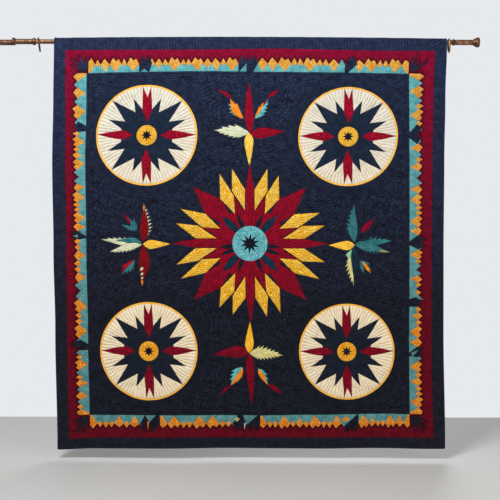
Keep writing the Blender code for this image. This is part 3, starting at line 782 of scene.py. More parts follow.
@dataclass(frozen=True)
class CornerLeaf:
    """A barbed navy leaf out of a corner of the field.

    Its root is a place in millimetres, and each of its tips a bearing and a distance from there.
    """

    root: Point
    tips: tuple[Point, ...]
    shoulder_turn: float = 12.0
    shoulder_share: float = 0.36
    valley_share: float = 0.46

    def patch(self) -> Patch:
        """The leaf's patch, quilted from its root."""
        (first, first_reach), (last, last_reach) = self.tips[0], self.tips[-1]
        rows = [(first - self.shoulder_turn, self.shoulder_share * first_reach), self.tips[0]]
        for (bearing, reach), (next_bearing, next_reach) in zip(self.tips, self.tips[1:]):
            rows.append((0.5 * (bearing + next_bearing), self.valley_share * min(reach, next_reach)))
            rows.append((next_bearing, next_reach))
        rows.append((last + self.shoulder_turn, self.shoulder_share * last_reach))
        root = (self.root[0] * MM, self.root[1] * MM)
        outline = [root] + [polar(root, reach * MM, bearing) for bearing, reach in rows]
        spokes = Stitching(Marks.RADIAL, centre=root, count=40)
        return Patch(outline, "band navy", "quilt_border", 0.0026, spokes)


CORNER_LEAVES = (
    CornerLeaf((-845, 162), ((294, 84), (311, 112), (336, 106), (364, 88))),
    CornerLeaf((829, 162), ((15, 112), (34, 82), (54, 118))),
    CornerLeaf((-848, 1948), ((197, 98), (219, 116), (247, 98))),
    CornerLeaf((837, 1948), ((108, 92), (127, 108), (143, 118), (164, 90))),
)


@dataclass
class QuiltPattern:
    """The whole patchwork in painter's order."""

    hang: Hang
    medallions: tuple[Medallion, ...] = (
        Medallion("quilt_medallion_a", (-0.527, 0.4905), 0.2622),
        Medallion("quilt_medallion_b", (0.5150, 0.4955), 0.258),
        Medallion("quilt_medallion_c", (-0.525, 1.612), 0.255),
        Medallion("quilt_medallion_d", (0.5095, 1.6145), 0.2495),
    )
    star: GreatStar = field(default_factory=GreatStar)
    seam_allowance: float = 0.0040

    def rectangle(self) -> list[Point]:
        """The whole cloth, a little inside its binding's outer edge."""
        half = self.hang.width / 2 - self.seam_allowance
        low = self.hang.drop - self.seam_allowance
        high = -(self.hang.arc + self.hang.hem - self.seam_allowance)
        return [(-half, high), (half, high), (half, low), (-half, low)]

    def round_border(self, out: float, runs: dict[str, tuple[float, ...]]) -> list[Point]:
        """Places round the border at one depth, side after side."""
        return [SIDES[side].place(run, out) for side, places in runs.items() for run in places]

    def frame_outline(self) -> list[Point]:
        """The outer edge of the crimson frame."""
        return self.round_border(1.0, {
            "top": (-0.957, -0.30, 0.15, 0.68, 0.953), "right": (0.6, 1.139, 1.868),
            "bottom": (0.955, 0.0, -0.80, -0.954), "left": (1.868, 1.139, 0.566)})

    def field_outline(self) -> list[Point]:
        """The edge of the navy field, where the border's teal starts."""
        return self.round_border(0.0, {
            "top": (-0.843, -0.52, -0.26, 0.05, 0.55, 0.8235), "right": (0.6, 1.1, 1.938),
            "bottom": (0.3, 0.0, -0.843)})

    def patches(self) -> list[Patch]:
        """Every patch, lowest first."""
        slanting = Stitching(Marks.BAND, pitch=0.0135)
        echoing = Stitching(Marks.FIELD, pitch=0.0130)
        laid = [
            Patch(self.rectangle(), "band navy", "quilt_band", 0.0018, slanting),
            Patch(self.frame_outline(), "border crimson", "quilt_border", 0.0022, slanting),
            Patch(self.field_outline(), "field navy", "quilt_field", 0.0026, echoing),
        ]
        for run in TOOTH_RUNS:
            laid.extend(run.patches())
        for motifs in (NOTCHES, CHIPS, CORNER_LEAVES, LEAVES):
            laid.extend(motif.patch() for motif in motifs)
        for medallion in self.medallions:
            laid.extend(medallion.patches())
        laid.extend(self.star.patches())
        return laid


@dataclass(frozen=True)
class BorderBox:
    """The field's upright box, and how deep the border stands round it."""

    centre: Point = (-0.004, 1.0525)
    half: Point = (0.838, 0.890)
    depth: float = 0.118


@dataclass(frozen=True)
class Slants:
    """The slanting quilting lines of the border and the band, in metres and turns for each metre."""

    upright_from: float = 0.78
    middle: float = 1.05
    corner_slope: float = 0.88
    level_slant: float = 0.42
    upright_slant: float = 0.75
    sway: float = 0.0045
    sway_turns: Point = (41.0, 23.0)
    sway_bend: float = 3.0
    level_ripple: Point = (0.0050, 105.0)
    upright_ripple: Point = (0.0040, 95.0)

    def run(self, places: np.ndarray) -> np.ndarray:
        """How far each flat place lies across the lines."""
        across, along = places[..., 0], places[..., 1]
        corner = np.abs(along - self.middle) * self.corner_slope
        upright = np.abs(across) > np.maximum(self.upright_from, corner)
        bend = self.sway_bend * np.sin(along * self.sway_turns[1])
        sway = self.sway * np.sin(across * self.sway_turns[0] + bend)
        depth, turns = self.level_ripple
        level = across + self.level_slant * along + sway + depth * np.sin(along * turns)
        depth, turns = self.upright_ripple
        sides = along + self.upright_slant * np.abs(across) + sway + depth * np.sin(across * turns)
        return np.where(upright, sides, level)


@dataclass
class QuiltFace:
    """The pieced and quilted face, cut along every seam and hung on the cloth's folds."""

    hang: Hang
    pattern: QuiltPattern
    stitched: float = 0.0030
    soft: float = 0.0062
    outline_step: float = 0.0042
    clearance: float = 0.0024
    relief: float = 0.0029
    slack: float = 0.0048
    slack_share: float = 0.26
    stipple_length: float = 0.030
    stipple_waves: int = 26
    stipple_spread: Point = (0.86, 1.16)
    radial_sway: float = 0.22
    radial_stretch: float = 0.5
    along_stretch: float = 0.7
    stretch: tuple[float, float] = (0.70, 1.0)
    echo_reach: float = 0.026
    ring_reach: float = 0.066
    ring_pitch: float = 0.0095
    ring_relief: float = 0.35
    star_zone: float = 83.0
    rim_ease: float = 0.10
    top_ease: float = 0.12
    unevenness: float = 0.0006
    slants: Slants = field(default_factory=Slants)
    border_box: BorderBox = field(default_factory=BorderBox)
    quarters: tuple[tuple[str, bool, bool], ...] = (
        ("quilt_field_a", False, False), ("quilt_field_b", True, False),
        ("quilt_field_c", False, True), ("quilt_field_d", True, True),
    )
    spacings: tuple[tuple[str, float], ...] = (
        ("quilt_band", 0.0046), ("quilt_border", 0.0044), ("quilt_field", 0.0037),
        ("quilt_medallion", 0.0040), ("quilt_star", 0.0040),
    )

    def cut(self, patches: list[Patch]) -> tuple[np.ndarray, np.ndarray, np.ndarray]:
        """Triangulate the flat face so that every seam is an edge.

        Args:
            patches: the patches, lowest first.

        Returns:
            Flat places, triangles, and each triangle's topmost patch.
        """
        places: list[Point] = []
        faces = []
        for patch in patches:
            start = len(places)
            outline = patch.wound()
            for (x, y), (next_x, next_y) in zip(outline, outline[1:] + outline[:1]):
                count = max(1, round(math.hypot(next_x - x, next_y - y) / self.outline_step))
                places.extend((x + (next_x - x) * step / count, y + (next_y - y) * step / count)
                              for step in range(count))
            faces.append(list(range(start, len(places))))
        tree = nearest_tree(places)
        places.extend(point for point in self.filler() if tree.find((*point, 0.0))[2] > self.clearance)
        flat, _, triangles, _, _, origins = delaunay_2d_cdt(
            [Vector(place) for place in places], [], faces, 1, 1e-6, True)
        flat = np.array([tuple(place) for place in flat])
        kept = [(tuple(face), max(origin)) for face, origin in zip(triangles, origins)
                if origin and len(face) == 3]
        corners = np.array([face for face, _ in kept])
        top = np.array([origin for _, origin in kept])
        first, second, third = (flat[corners[:, index]] for index in range(3))
        area = np.cross(second - first, third - first)
        corners = np.where((area > 0.0)[:, None], corners[:, ::-1], corners)
        return flat, corners, top

    def filler(self) -> list[Point]:
        """Places that fill the patches, each zone at its own spacing."""
        spacing = dict(self.spacings)
        low_x, low_y = self.pattern.rectangle()[0]
        high_x, high_y = self.pattern.rectangle()[2]
        frame = np.array(self.pattern.frame_outline())
        inside = np.array(self.pattern.field_outline())
        rows = []
        for zone, step in spacing.items():
            rise = step * math.sqrt(3.0) / 2.0
            down = np.arange(low_y + step, high_y - 0.5 * step, rise)
            across = np.arange(low_x + step, high_x - 0.5 * step, step)
            grid_x, grid_y = np.meshgrid(across, down)
            grid_x = grid_x + (np.arange(len(down)) % 2)[:, None] * 0.5 * step
            points = np.stack([grid_x.ravel(), grid_y.ravel()], axis=1)
            points = points[points[:, 0] < high_x - 0.5 * step]
            zones = self.zones(points, frame, inside)
            rows.extend(map(tuple, points[zones == list(spacing).index(zone)]))
        return rows

    def zones(self, points: np.ndarray, frame: np.ndarray, inside: np.ndarray) -> np.ndarray:
        """The number of the zone that each place is in."""
        def within(box: np.ndarray) -> np.ndarray:
            """Which places lie in an outline's upright box."""
            low, high = box.min(axis=0), box.max(axis=0)
            return ((points > low) & (points < high)).all(axis=1)

        zone = np.zeros(len(points), dtype=int)
        zone[within(frame)] = 1
        zone[within(inside)] = 2
        for medallion in self.pattern.medallions:
            zone[np.hypot(*(points - medallion.centre).T) < medallion.radius] = 3
        star = self.pattern.star
        zone[np.hypot(*(points - star.centre).T) < self.star_zone * star.unit] = 4
        return zone

    def seam_distance(self, flat: np.ndarray, corners: np.ndarray, top: np.ndarray,
                      patches: list[Patch]) -> np.ndarray:
        """How far each place is from the nearest seam that shows."""
        plain = np.array([patch.cloth == "field navy" for patch in patches])
        edges = np.concatenate([corners[:, [0, 1]], corners[:, [1, 2]], corners[:, [2, 0]]])
        owners = np.concatenate([top, top, top])
        edges = np.sort(edges, axis=1)
        order = np.lexsort((edges[:, 1], edges[:, 0]))
        edges, owners = edges[order], owners[order]
        same = (edges[1:] == edges[:-1]).all(axis=1)
        joined = plain[owners[1:]] & plain[owners[:-1]]
        seam = edges[1:][same & (owners[1:] != owners[:-1]) & ~joined]
        start, end = flat[seam[:, 0]], flat[seam[:, 1]]
        marks = np.concatenate([start + (end - start) * share for share in (0.0, 0.33, 0.67, 1.0)])
        tree = nearest_tree(marks)
        distance = np.array([tree.find((x, y, 0.0))[2] for x, y in flat])
        distance[np.unique(seam)] = 0.0
        return distance

    def stipple(self, places: np.ndarray) -> np.ndarray:
        """Half a smooth random wave: the stitched line wanders along its zeros, as free stippling does."""
        draw = random.Random(11)
        total = np.zeros(places.shape[:-1])
        for _ in range(self.stipple_waves):
            angle = draw.uniform(0.0, 2.0 * math.pi)
            turns = 2.0 * math.pi / (self.stipple_length * draw.uniform(*self.stipple_spread))
            phase = draw.uniform(0.0, 2.0 * math.pi)
            run = math.cos(angle) * places[..., 0] + math.sin(angle) * places[..., 1]
            total += np.sin(turns * run + phase)
        return 0.5 * np.clip(total / math.sqrt(0.5 * self.stipple_waves), -1.0, 1.0)

    def past_medallions(self, places: np.ndarray) -> np.ndarray:
        """How far places lie past the rim of the nearest medallion."""
        return np.min([np.hypot(places[..., 0] - medallion.centre[0], places[..., 1] - medallion.centre[1])
                       - medallion.radius for medallion in self.pattern.medallions], axis=0)

    def phase(self, patch: Patch, places: np.ndarray, seams: np.ndarray) -> np.ndarray:
        """How many quilting lines lie between a patch's start and each corner.

        Args:
            patch: the patch.
            places: flat places of its triangles' corners.
            seams: their distances from the nearest seam.

        Returns:
            The count of lines, with its fraction.
        """
        stitching = patch.stitching
        offset = places - np.array(stitching.centre)
        if stitching.marks is Marks.RADIAL:
            angle = np.arctan2(offset[..., 1], offset[..., 0])
            middle = offset.mean(axis=1)
            centre = np.arctan2(middle[:, 1], middle[:, 0])[:, None]
            swing = (angle - centre + np.pi) % (2.0 * np.pi) - np.pi
            ripple = self.radial_sway * self.stipple(self.radial_stretch * places)
            return stitching.count * (centre + swing) / (2.0 * np.pi) + ripple
        if stitching.marks is Marks.ALONG:
            angle = math.radians(stitching.bearing)
            side = offset[..., 0] * math.cos(angle) + offset[..., 1] * math.sin(angle)
            return side / stitching.pitch + 0.5 + stitching.wander * self.stipple(self.along_stretch * places)
        if stitching.marks is Marks.FIELD:
            ringed = self.past_medallions(places) < self.ring_reach
            echo = seams / np.where(ringed, self.ring_pitch, stitching.pitch)
            return np.where((seams > self.echo_reach) & ~ringed, self.stipple(places * self.stretch), echo)
        if stitching.marks is Marks.BAND:
            return self.slants.run(places) / stitching.pitch
        return np.zeros(places.shape[:-1])

    def thickness(self, flat: np.ndarray, corners: np.ndarray, top: np.ndarray, distance: np.ndarray,
                  patches: list[Patch], phases: np.ndarray) -> np.ndarray:
        """How far each place stands out from the cloth's back, sunk along the quilting lines."""
        puffs = np.array([patch.puff for patch in patches])[top]
        total = summed(len(flat), corners, np.repeat(puffs[:, None], 3, axis=1))
        ridge = summed(len(flat), corners, np.abs(np.sin(phases * np.pi)) ** LINE_POWER - LINE_POWER)
        count = summed(len(flat), corners, np.ones(corners.shape))
        past = self.past_medallions(flat)
        relief = np.where((past > 0.0) & (past < self.ring_reach), self.ring_relief, 1.0) * self.relief
        puff = (total + relief * ridge) / np.maximum(count, 1.0)
        swell = 1.0 - np.exp(-distance / self.soft)
        uneven = self.unevenness * np.sin(flat[:, 0] * 190.0 + 3.0 * np.sin(flat[:, 1] * 61.0))
        uneven *= np.sin(flat[:, 1] * 170.0 + 2.5 * np.sin(flat[:, 0] * 73.0))
        low_x, low_y = self.pattern.rectangle()[0]
        high_x, high_y = self.pattern.rectangle()[2]
        rim = np.minimum(np.minimum(flat[:, 0] - low_x, high_x - flat[:, 0]), high_y - flat[:, 1])
        waves = self.slack * self.stipple(flat * self.slack_share) * smooth(0.0, self.rim_ease, rim)
        waves *= smooth(0.0, self.top_ease, flat[:, 1])
        return self.stitched + puff * swell + uneven * swell + waves

    def build(self, finishes: "Finishes") -> list[bpy.types.Object]:
        """Cut, hang and dress the face.

        Args:
            finishes: the cloths.

        Returns:
            One object for each piece of the face.
        """
        patches = self.pattern.patches()
        flat, corners, top = self.cut(patches)
        LOG.info("face: %d places, %d triangles, %d patches", len(flat), len(corners), len(patches))
        distance = self.seam_distance(flat, corners, top, patches)
        phases = np.zeros(corners.shape)
        for index, patch in enumerate(patches):
            own = top == index
            if own.any():
                phases[own] = self.phase(patch, flat[corners[own]], distance[corners[own]])
        lift = self.thickness(flat, corners, top, distance, patches, phases)
        hung = self.hang.lay(flat[:, 0], flat[:, 1], lift)
        normals = self.normals(hung, corners)
        owner = np.array([patch.piece for patch in patches])[top]
        middle = flat[corners].mean(axis=1)
        for name, right, low in self.quarters:
            here = ((middle[:, 0] > 0.0) == right) & ((middle[:, 1] > self.pattern.star.centre[1]) == low)
            owner[(owner == "quilt_field") & here] = name
        made = []
        for piece in sorted(set(owner)):
            own = owner == piece
            if own.any():
                made.append(self.piece(piece, flat, hung, normals, distance, corners[own], top[own],
                                       phases[own], patches, finishes))
        return made

    def normals(self, hung: np.ndarray, corners: np.ndarray) -> np.ndarray:
        """Smooth normals of the whole face, so its pieces shade as one cloth."""
        first, second, third = (hung[corners[:, index]] for index in range(3))
        facing = np.cross(second - first, third - first)
        total = summed(len(hung), corners, np.repeat(facing[:, None], 3, axis=1))
        return total / np.maximum(np.linalg.norm(total, axis=1), 1e-12)[:, None]

    def piece(self, name: str, flat: np.ndarray, hung: np.ndarray, normals: np.ndarray, distance: np.ndarray,
              corners: np.ndarray, top: np.ndarray, phases: np.ndarray, patches: list[Patch],
              finishes: "Finishes") -> bpy.types.Object:
        """Make one piece of the face from its triangles."""
        used, inverse = np.unique(corners.ravel(), return_inverse=True)
        local = inverse.reshape(corners.shape)
        mesh = bpy.data.meshes.new(name)
        mesh.from_pydata(hung[used].tolist(), [], local.tolist())
        cloths = list(dict.fromkeys(patches[index].cloth for index in np.unique(top)))
        for cloth in cloths:
            mesh.materials.append(finishes.cloth(cloth))
        slots = np.array([cloths.index(patches[index].cloth) for index in top], dtype=np.int32)
        mesh.polygons.foreach_set("material_index", slots)
        mesh.polygons.foreach_set("use_smooth", np.ones(len(local), dtype=bool))
        layer = mesh.uv_layers.new(name="flat")
        layer.uv.foreach_set("vector", flat[corners.ravel()].astype(np.float32).ravel())
        lines = mesh.attributes.new("quilting", "FLOAT", "CORNER")
        lines.data.foreach_set("value", phases.astype(np.float32).ravel())
        mark(mesh, "seam", distance[used])
        box = self.border_box
        past = np.abs(flat[used] - box.centre) - box.half
        mark(mesh, "border", past.max(axis=1) / box.depth)
        mesh.update()
        mesh.normals_split_custom_set_from_vertices(normals[used].tolist())
        LOG.info("%s: %d triangles", name, len(local))
        return put(name, mesh)


@dataclass
class Backing:
    """The quilt's plain back: the whole cloth in one sheet."""

    hang: Hang
    face: QuiltFace
    step: float = 0.0095
    inset: float = 0.0040
    pitch: float = 0.0125
    rings: int = 6

    def lines(self, places: np.ndarray) -> np.ndarray:
        """The face's echo rings and stipple, as they come through to the back."""
        circles = [(medallion.centre, medallion.radius) for medallion in self.face.pattern.medallions]
        star = self.face.pattern.star
        circles.append((star.centre, star.reach * star.unit))
        nearest = np.min([np.hypot(*(places - centre).T) - radius for centre, radius in circles], axis=0)
        reach = self.rings * self.pitch
        free = smooth(reach - self.pitch, reach, nearest)
        return np.minimum(nearest, reach) / self.pitch + self.face.stipple(places) * free

    def build(self, finishes: "Finishes") -> bpy.types.Object:
        """Lay a grid on the cloth's back, facing away from the front."""
        half = self.hang.width / 2 - self.inset
        low = self.hang.drop - self.inset
        high = -(self.hang.arc + self.hang.hem - self.inset)
        return grid_sheet("quilt_backing", self.hang, (-half, half), (high, low), self.step, self.lines,
                          finishes.cloth("backing navy"))


def grid_sheet(name: str, hang: Hang, across: Point, along: Point, step: float,
               lines: Callable[[np.ndarray], np.ndarray], material: bpy.types.Material) -> bpy.types.Object:
    """Hang a bmesh grid as a sheet with its face to the back.

    Args:
        name: the object's name.
        hang: how the cloth hangs.
        across: its two sides.
        along: its upper and lower edge.
        step: the grid's pitch.
        lines: gives the count of quilting lines at flat places.
        material: its cloth.

    Returns:
        The sheet.
    """
    builder = bmesh.new()
    columns = round((across[1] - across[0]) / step)
    rows = round((along[1] - along[0]) / step)
    bmesh.ops.create_grid(builder, x_segments=columns, y_segments=rows, size=1.0, calc_uvs=True)
    places = np.array([tuple(vertex.co) for vertex in builder.verts])
    flat_x = across[0] + (places[:, 0] + 1.0) / 2.0 * (across[1] - across[0])
    flat_y = along[0] + (places[:, 1] + 1.0) / 2.0 * (along[1] - along[0])
    hung = hang.lay(flat_x, flat_y, np.zeros(len(places)))
    layer = builder.loops.layers.uv.new("flat")
    for vertex, place, u, v in zip(builder.verts, hung, flat_x, flat_y):
        vertex.co = place
        for loop in vertex.link_loops:
            loop[layer].uv = (u, v)
    for face in builder.faces:
        face.smooth = True
    if sum(face.normal.y * face.calc_area() for face in builder.faces) < 0.0:
        bmesh.ops.reverse_faces(builder, faces=builder.faces)
    sheet = put_mesh(name, builder, material)
    mark(sheet.data, "quilting", lines(np.stack([flat_x, flat_y], axis=1)))
    mark(sheet.data, "seam", np.full(len(flat_x), SEAMLESS))
    return sheet


@dataclass
class Binding:
    """The doubled strip sewn round the quilt's edge, rounded and a little puckered."""

    hang: Hang
    width: float = 0.009
    depth: float = 0.0072
    step: float = 0.006
    around: int = 14
    pucker: float = 0.0007
    pucker_pitch: float = 0.0145
    squareness: float = 0.7
    girth: float = 0.0252

    def path(self) -> np.ndarray:
        """Flat places round the edge, closed, anticlockwise as seen from the front."""
        half = self.hang.width / 2 - 0.5 * self.width
        low = self.hang.drop - 0.5 * self.width
        high = -(self.hang.arc + self.hang.hem - 0.5 * self.width)
        corners = [(-half, low), (half, low), (half, high), (-half, high)]
        rows = []
        for (x, y), (next_x, next_y) in zip(corners, corners[1:] + corners[:1]):
            count = round(math.hypot(next_x - x, next_y - y) / self.step)
            rows.extend((x + (next_x - x) * step / count, y + (next_y - y) * step / count)
                        for step in range(count))
        return np.array(rows)

    def build(self, finishes: "Finishes") -> bpy.types.Object:
        """Sweep the rounded section along the edge."""
        flat = self.path()
        low = self.hang.lay(flat[:, 0], flat[:, 1], np.zeros(len(flat)))
        high = self.hang.lay(flat[:, 0], flat[:, 1], np.full(len(flat), self.depth))
        centre = (low + high) / 2.0
        lift = (high - low) / np.linalg.norm(high - low, axis=1)[:, None]
        run = np.roll(centre, -1, axis=0) - np.roll(centre, 1, axis=0)
        run /= np.linalg.norm(run, axis=1)[:, None]
        side = np.cross(run, lift)
        side /= np.linalg.norm(side, axis=1)[:, None]
        builder = bmesh.new()
        count = len(flat)
        bmesh.ops.create_grid(builder, x_segments=self.around, y_segments=count, size=1.0)
        builder.verts.ensure_lookup_table()
        layer = builder.loops.layers.uv.new("flat")
        for index, vertex in enumerate(builder.verts):
            station, part = divmod(index, self.around + 1)
            angle = -2.0 * math.pi * part / self.around
            right, up = (math.copysign(abs(part_of) ** self.squareness, part_of)
                         for part_of in (math.cos(angle), math.sin(angle)))
            turns = station * self.step / self.pucker_pitch
            pucker = 1.0 + self.pucker / self.depth * math.sin(2.0 * math.pi * turns)
            place = station % count
            vertex.co = (centre[place] + side[place] * (right * 0.5 * self.width * (0.5 + 0.5 * pucker))
                         + lift[place] * (up * 0.5 * self.depth * pucker))
            for loop in vertex.link_loops:
                loop[layer].uv = (station * self.step, part * self.girth / self.around)
        bmesh.ops.remove_doubles(builder, verts=builder.verts, dist=1e-6)
        bmesh.ops.recalc_face_normals(builder, faces=builder.faces)
        for face in builder.faces:
            face.smooth = True
        strip = put_mesh("edge_binding", builder, finishes.cloth("binding navy"))
        mark(strip.data, "seam", np.full(len(strip.data.vertices), SEAMLESS))
        return strip


@dataclass(frozen=True)
class PatchCloth:
    """A quilting cotton: its dye tones, the painted shade colours of its valleys, teeth and foot, its mottle
    and how deep its stitches lie.
    """

    deep: str
    light: str
    # Painted shade: the colour laid along the quilting lines, in the pebble hollows and by the seams.
    valley: str
    dapple: float = 34.0
    line_depth: float = 0.9
    pebble_depth: float = 0.0
    pebble_size: float = 0.010
    line_shade: float = 0.7
    line_width: float = 0.8
    pebble_shade: float = 0.0
    roughness: float = 0.88
    # Painted shadow: a dark colour laid in streaks and a zigzag line by the border's teeth, standing in for
    # their shade.
    inner: str = ""
    # Painted shade: a colour that multiplies the cloth more and more towards the bottom, standing in for the
    # light's falloff down the quilt.
    foot: Colour = (1.0, 1.0, 1.0)


# Each cloth's deep and light dye tones, then its valley colour, painted shade for its quilting lines, pebble
# hollows and seams; an inner colour is painted shadow by the border's teeth, and the foot colour is painted
# shade towards the bottom.
CLOTHS = {
    "field navy": PatchCloth("171e34", "24304a", "030409", line_depth=1.1, foot=(0.64, 0.46, 0.37)),
    "band navy": PatchCloth("1c243d", "2a3553", "04070f", line_depth=1.0, foot=(0.66, 0.42, 0.30)),
    "backing navy": PatchCloth("1c2440", "283354", "0a0e1c", line_depth=0.8, foot=(0.85, 0.70, 0.60)),
    "binding navy": PatchCloth("132040", "1d325e", "0a142b", line_depth=0.0, foot=(0.70, 0.50, 0.35)),
    "border crimson": PatchCloth("7a0124", "930231", "1e0008", line_depth=1.0, line_shade=0.6,
        inner="1e0614", foot=(0.54, 0.40, 0.36)),
    "border teal": PatchCloth("54a2a6", "76c2c5", "204f53", line_depth=0.7, pebble_depth=0.4,
        line_shade=0.5, pebble_shade=0.3, foot=(0.86, 0.68, 0.64)),
    "border gold": PatchCloth("eca337", "f9c55f", "814f1a", line_depth=0.0, pebble_depth=0.9,
        pebble_shade=0.6, foot=(1.08, 0.72, 0.38)),
    "leaf yellow": PatchCloth("f4c946", "ffe67c", "9d7623", line_depth=0.8, foot=(1.05, 0.75, 0.25)),
    "leaf cream": PatchCloth("d3d6b0", "e4e6ca", "717257", line_depth=0.8, line_shade=0.6,
        foot=(1.00, 0.95, 0.85)),
    "leaf straw": PatchCloth("d6cc88", "eae3a6", "6e663f", line_depth=0.8, line_shade=0.6,
        foot=(1.00, 0.95, 0.85)),
    "leaf mint": PatchCloth("7bc397", "a2dcb6", "34634a", line_depth=0.8, line_shade=0.6,
        foot=(1.00, 0.95, 0.85)),
    "leaf cyan": PatchCloth("4eb0b0", "79cfcb", "205f62", line_depth=0.8, line_shade=0.6,
        foot=(1.00, 0.90, 0.85)),
    "leaf orange": PatchCloth("e87a14", "fa9a2c", "b04c0c", line_depth=0.8, line_shade=0.5),
    "leaf red": PatchCloth("b70615", "da111c", "4c0203", line_depth=0.8, line_shade=0.5,
        foot=(0.75, 1.00, 0.65)),
    "leaf maroon": PatchCloth("77040d", "920814", "2e0103", line_depth=0.9, foot=(0.85, 1.00, 0.80)),
    "leaf teal": PatchCloth("2c747e", "479297", "0d363d", line_depth=0.9, line_shade=0.5,
        pebble_depth=0.5, pebble_size=0.007, pebble_shade=0.35, foot=(1.05, 0.90, 0.84)),
    "crimson": PatchCloth("8f0120", "af022d", "2b0006", line_depth=0.9, foot=(0.62, 0.80, 0.60)),
    "star crimson": PatchCloth("8c0120", "a50228", "2b0106", line_depth=1.0, foot=(0.70, 0.80, 0.70)),
    "star yellow": PatchCloth("fcc032", "fce173", "a86c16", line_depth=1.1, line_shade=0.8,
        pebble_depth=0.5, pebble_shade=0.3, foot=(0.98, 0.86, 0.48)),
    "gold rim": PatchCloth("e5a83c", "efbc58", "a16c18", line_depth=0.0, foot=(1.00, 0.92, 0.75)),
    "cream ground": PatchCloth("ccc6b6", "d3cfc5", "ab9c7d", line_depth=0.8, line_shade=0.60,
        line_width=0.5, pebble_depth=0.3, foot=(1.24, 1.08, 0.86)),
    "compass blue": PatchCloth("162436", "1e2d45", "050915", line_depth=0.8, foot=(0.80, 0.58, 0.50)),
    "hub gold": PatchCloth("f4b62d", "ffd662", "aa7410", line_depth=0.0, pebble_depth=0.9,
        pebble_shade=0.7, foot=(1.10, 0.86, 0.50)),
    "hub teal": PatchCloth("62b7be", "8edce0", "275c61", line_depth=0.0, pebble_depth=0.9,
        pebble_shade=0.6, foot=(1.00, 0.95, 0.95)),
    "deep teal": PatchCloth("0d293a", "143b51", "04101a", line_depth=0.9, foot=(0.95, 0.85, 0.85)),
    "night blue": PatchCloth("0f1727", "182438", "04070d", line_depth=0.6, foot=(0.90, 0.70, 0.60)),
}


class Nodes:
    """Adds nodes to a shader tree."""

    def __init__(self, tree: Tree) -> None:
        """Take the tree."""
        self.tree = tree

    def feed(self, node: bpy.types.Node, values: dict) -> None:
        """Link sockets to a node's inputs, or set numbers and colours there."""
        for label, value in values.items():
            socket = node.inputs[label]
            if isinstance(value, Socket):
                self.tree.links.new(value, socket)
            elif isinstance(value, tuple):
                socket.default_value = (*value, 1.0)
            else:
                socket.default_value = value

    def node(self, kind: str, values: dict, **settings: object) -> bpy.types.Node:
        """A new node with its settings made and its inputs fed."""
        node = self.tree.nodes.new(kind)
        for label, setting in settings.items():
            setattr(node, label, setting)
        self.feed(node, values)
        return node

    def math(self, operation: str, *values: object) -> Socket:
        """A math node fed by sockets or numbers."""
        return self.node("ShaderNodeMath", dict(enumerate(values)), operation=operation).outputs[0]

    def ramp(self, value: Socket, low: float, high: float, first: float = 0.0, last: float = 1.0) -> Socket:
        """A smooth map of a value's range."""
        spans = {"Value": value, "From Min": low, "From Max": high, "To Min": first, "To Max": last}
        return self.node("ShaderNodeMapRange", spans, interpolation_type="SMOOTHSTEP").outputs["Result"]

    def mix(self, share: object, first: object, second: object, blend: str = "MIX") -> Socket:
        """A colour mix fed by sockets or colours."""
        feeds = {"Factor": share, 6: first, 7: second}
        return self.node("ShaderNodeMix", feeds, data_type="RGBA", blend_type=blend).outputs[2]

    def attribute(self, name: str) -> Socket:
        """A number that the mesh holds."""
        return self.node("ShaderNodeAttribute", {}, attribute_name=name).outputs["Fac"]

    def bump(self, height: Socket, strength: float, distance: float) -> Socket:
        """The normal of a bump."""
        feeds = {"Strength": strength, "Distance": distance, "Height": height}
        return self.node("ShaderNodeBump", feeds).outputs["Normal"]


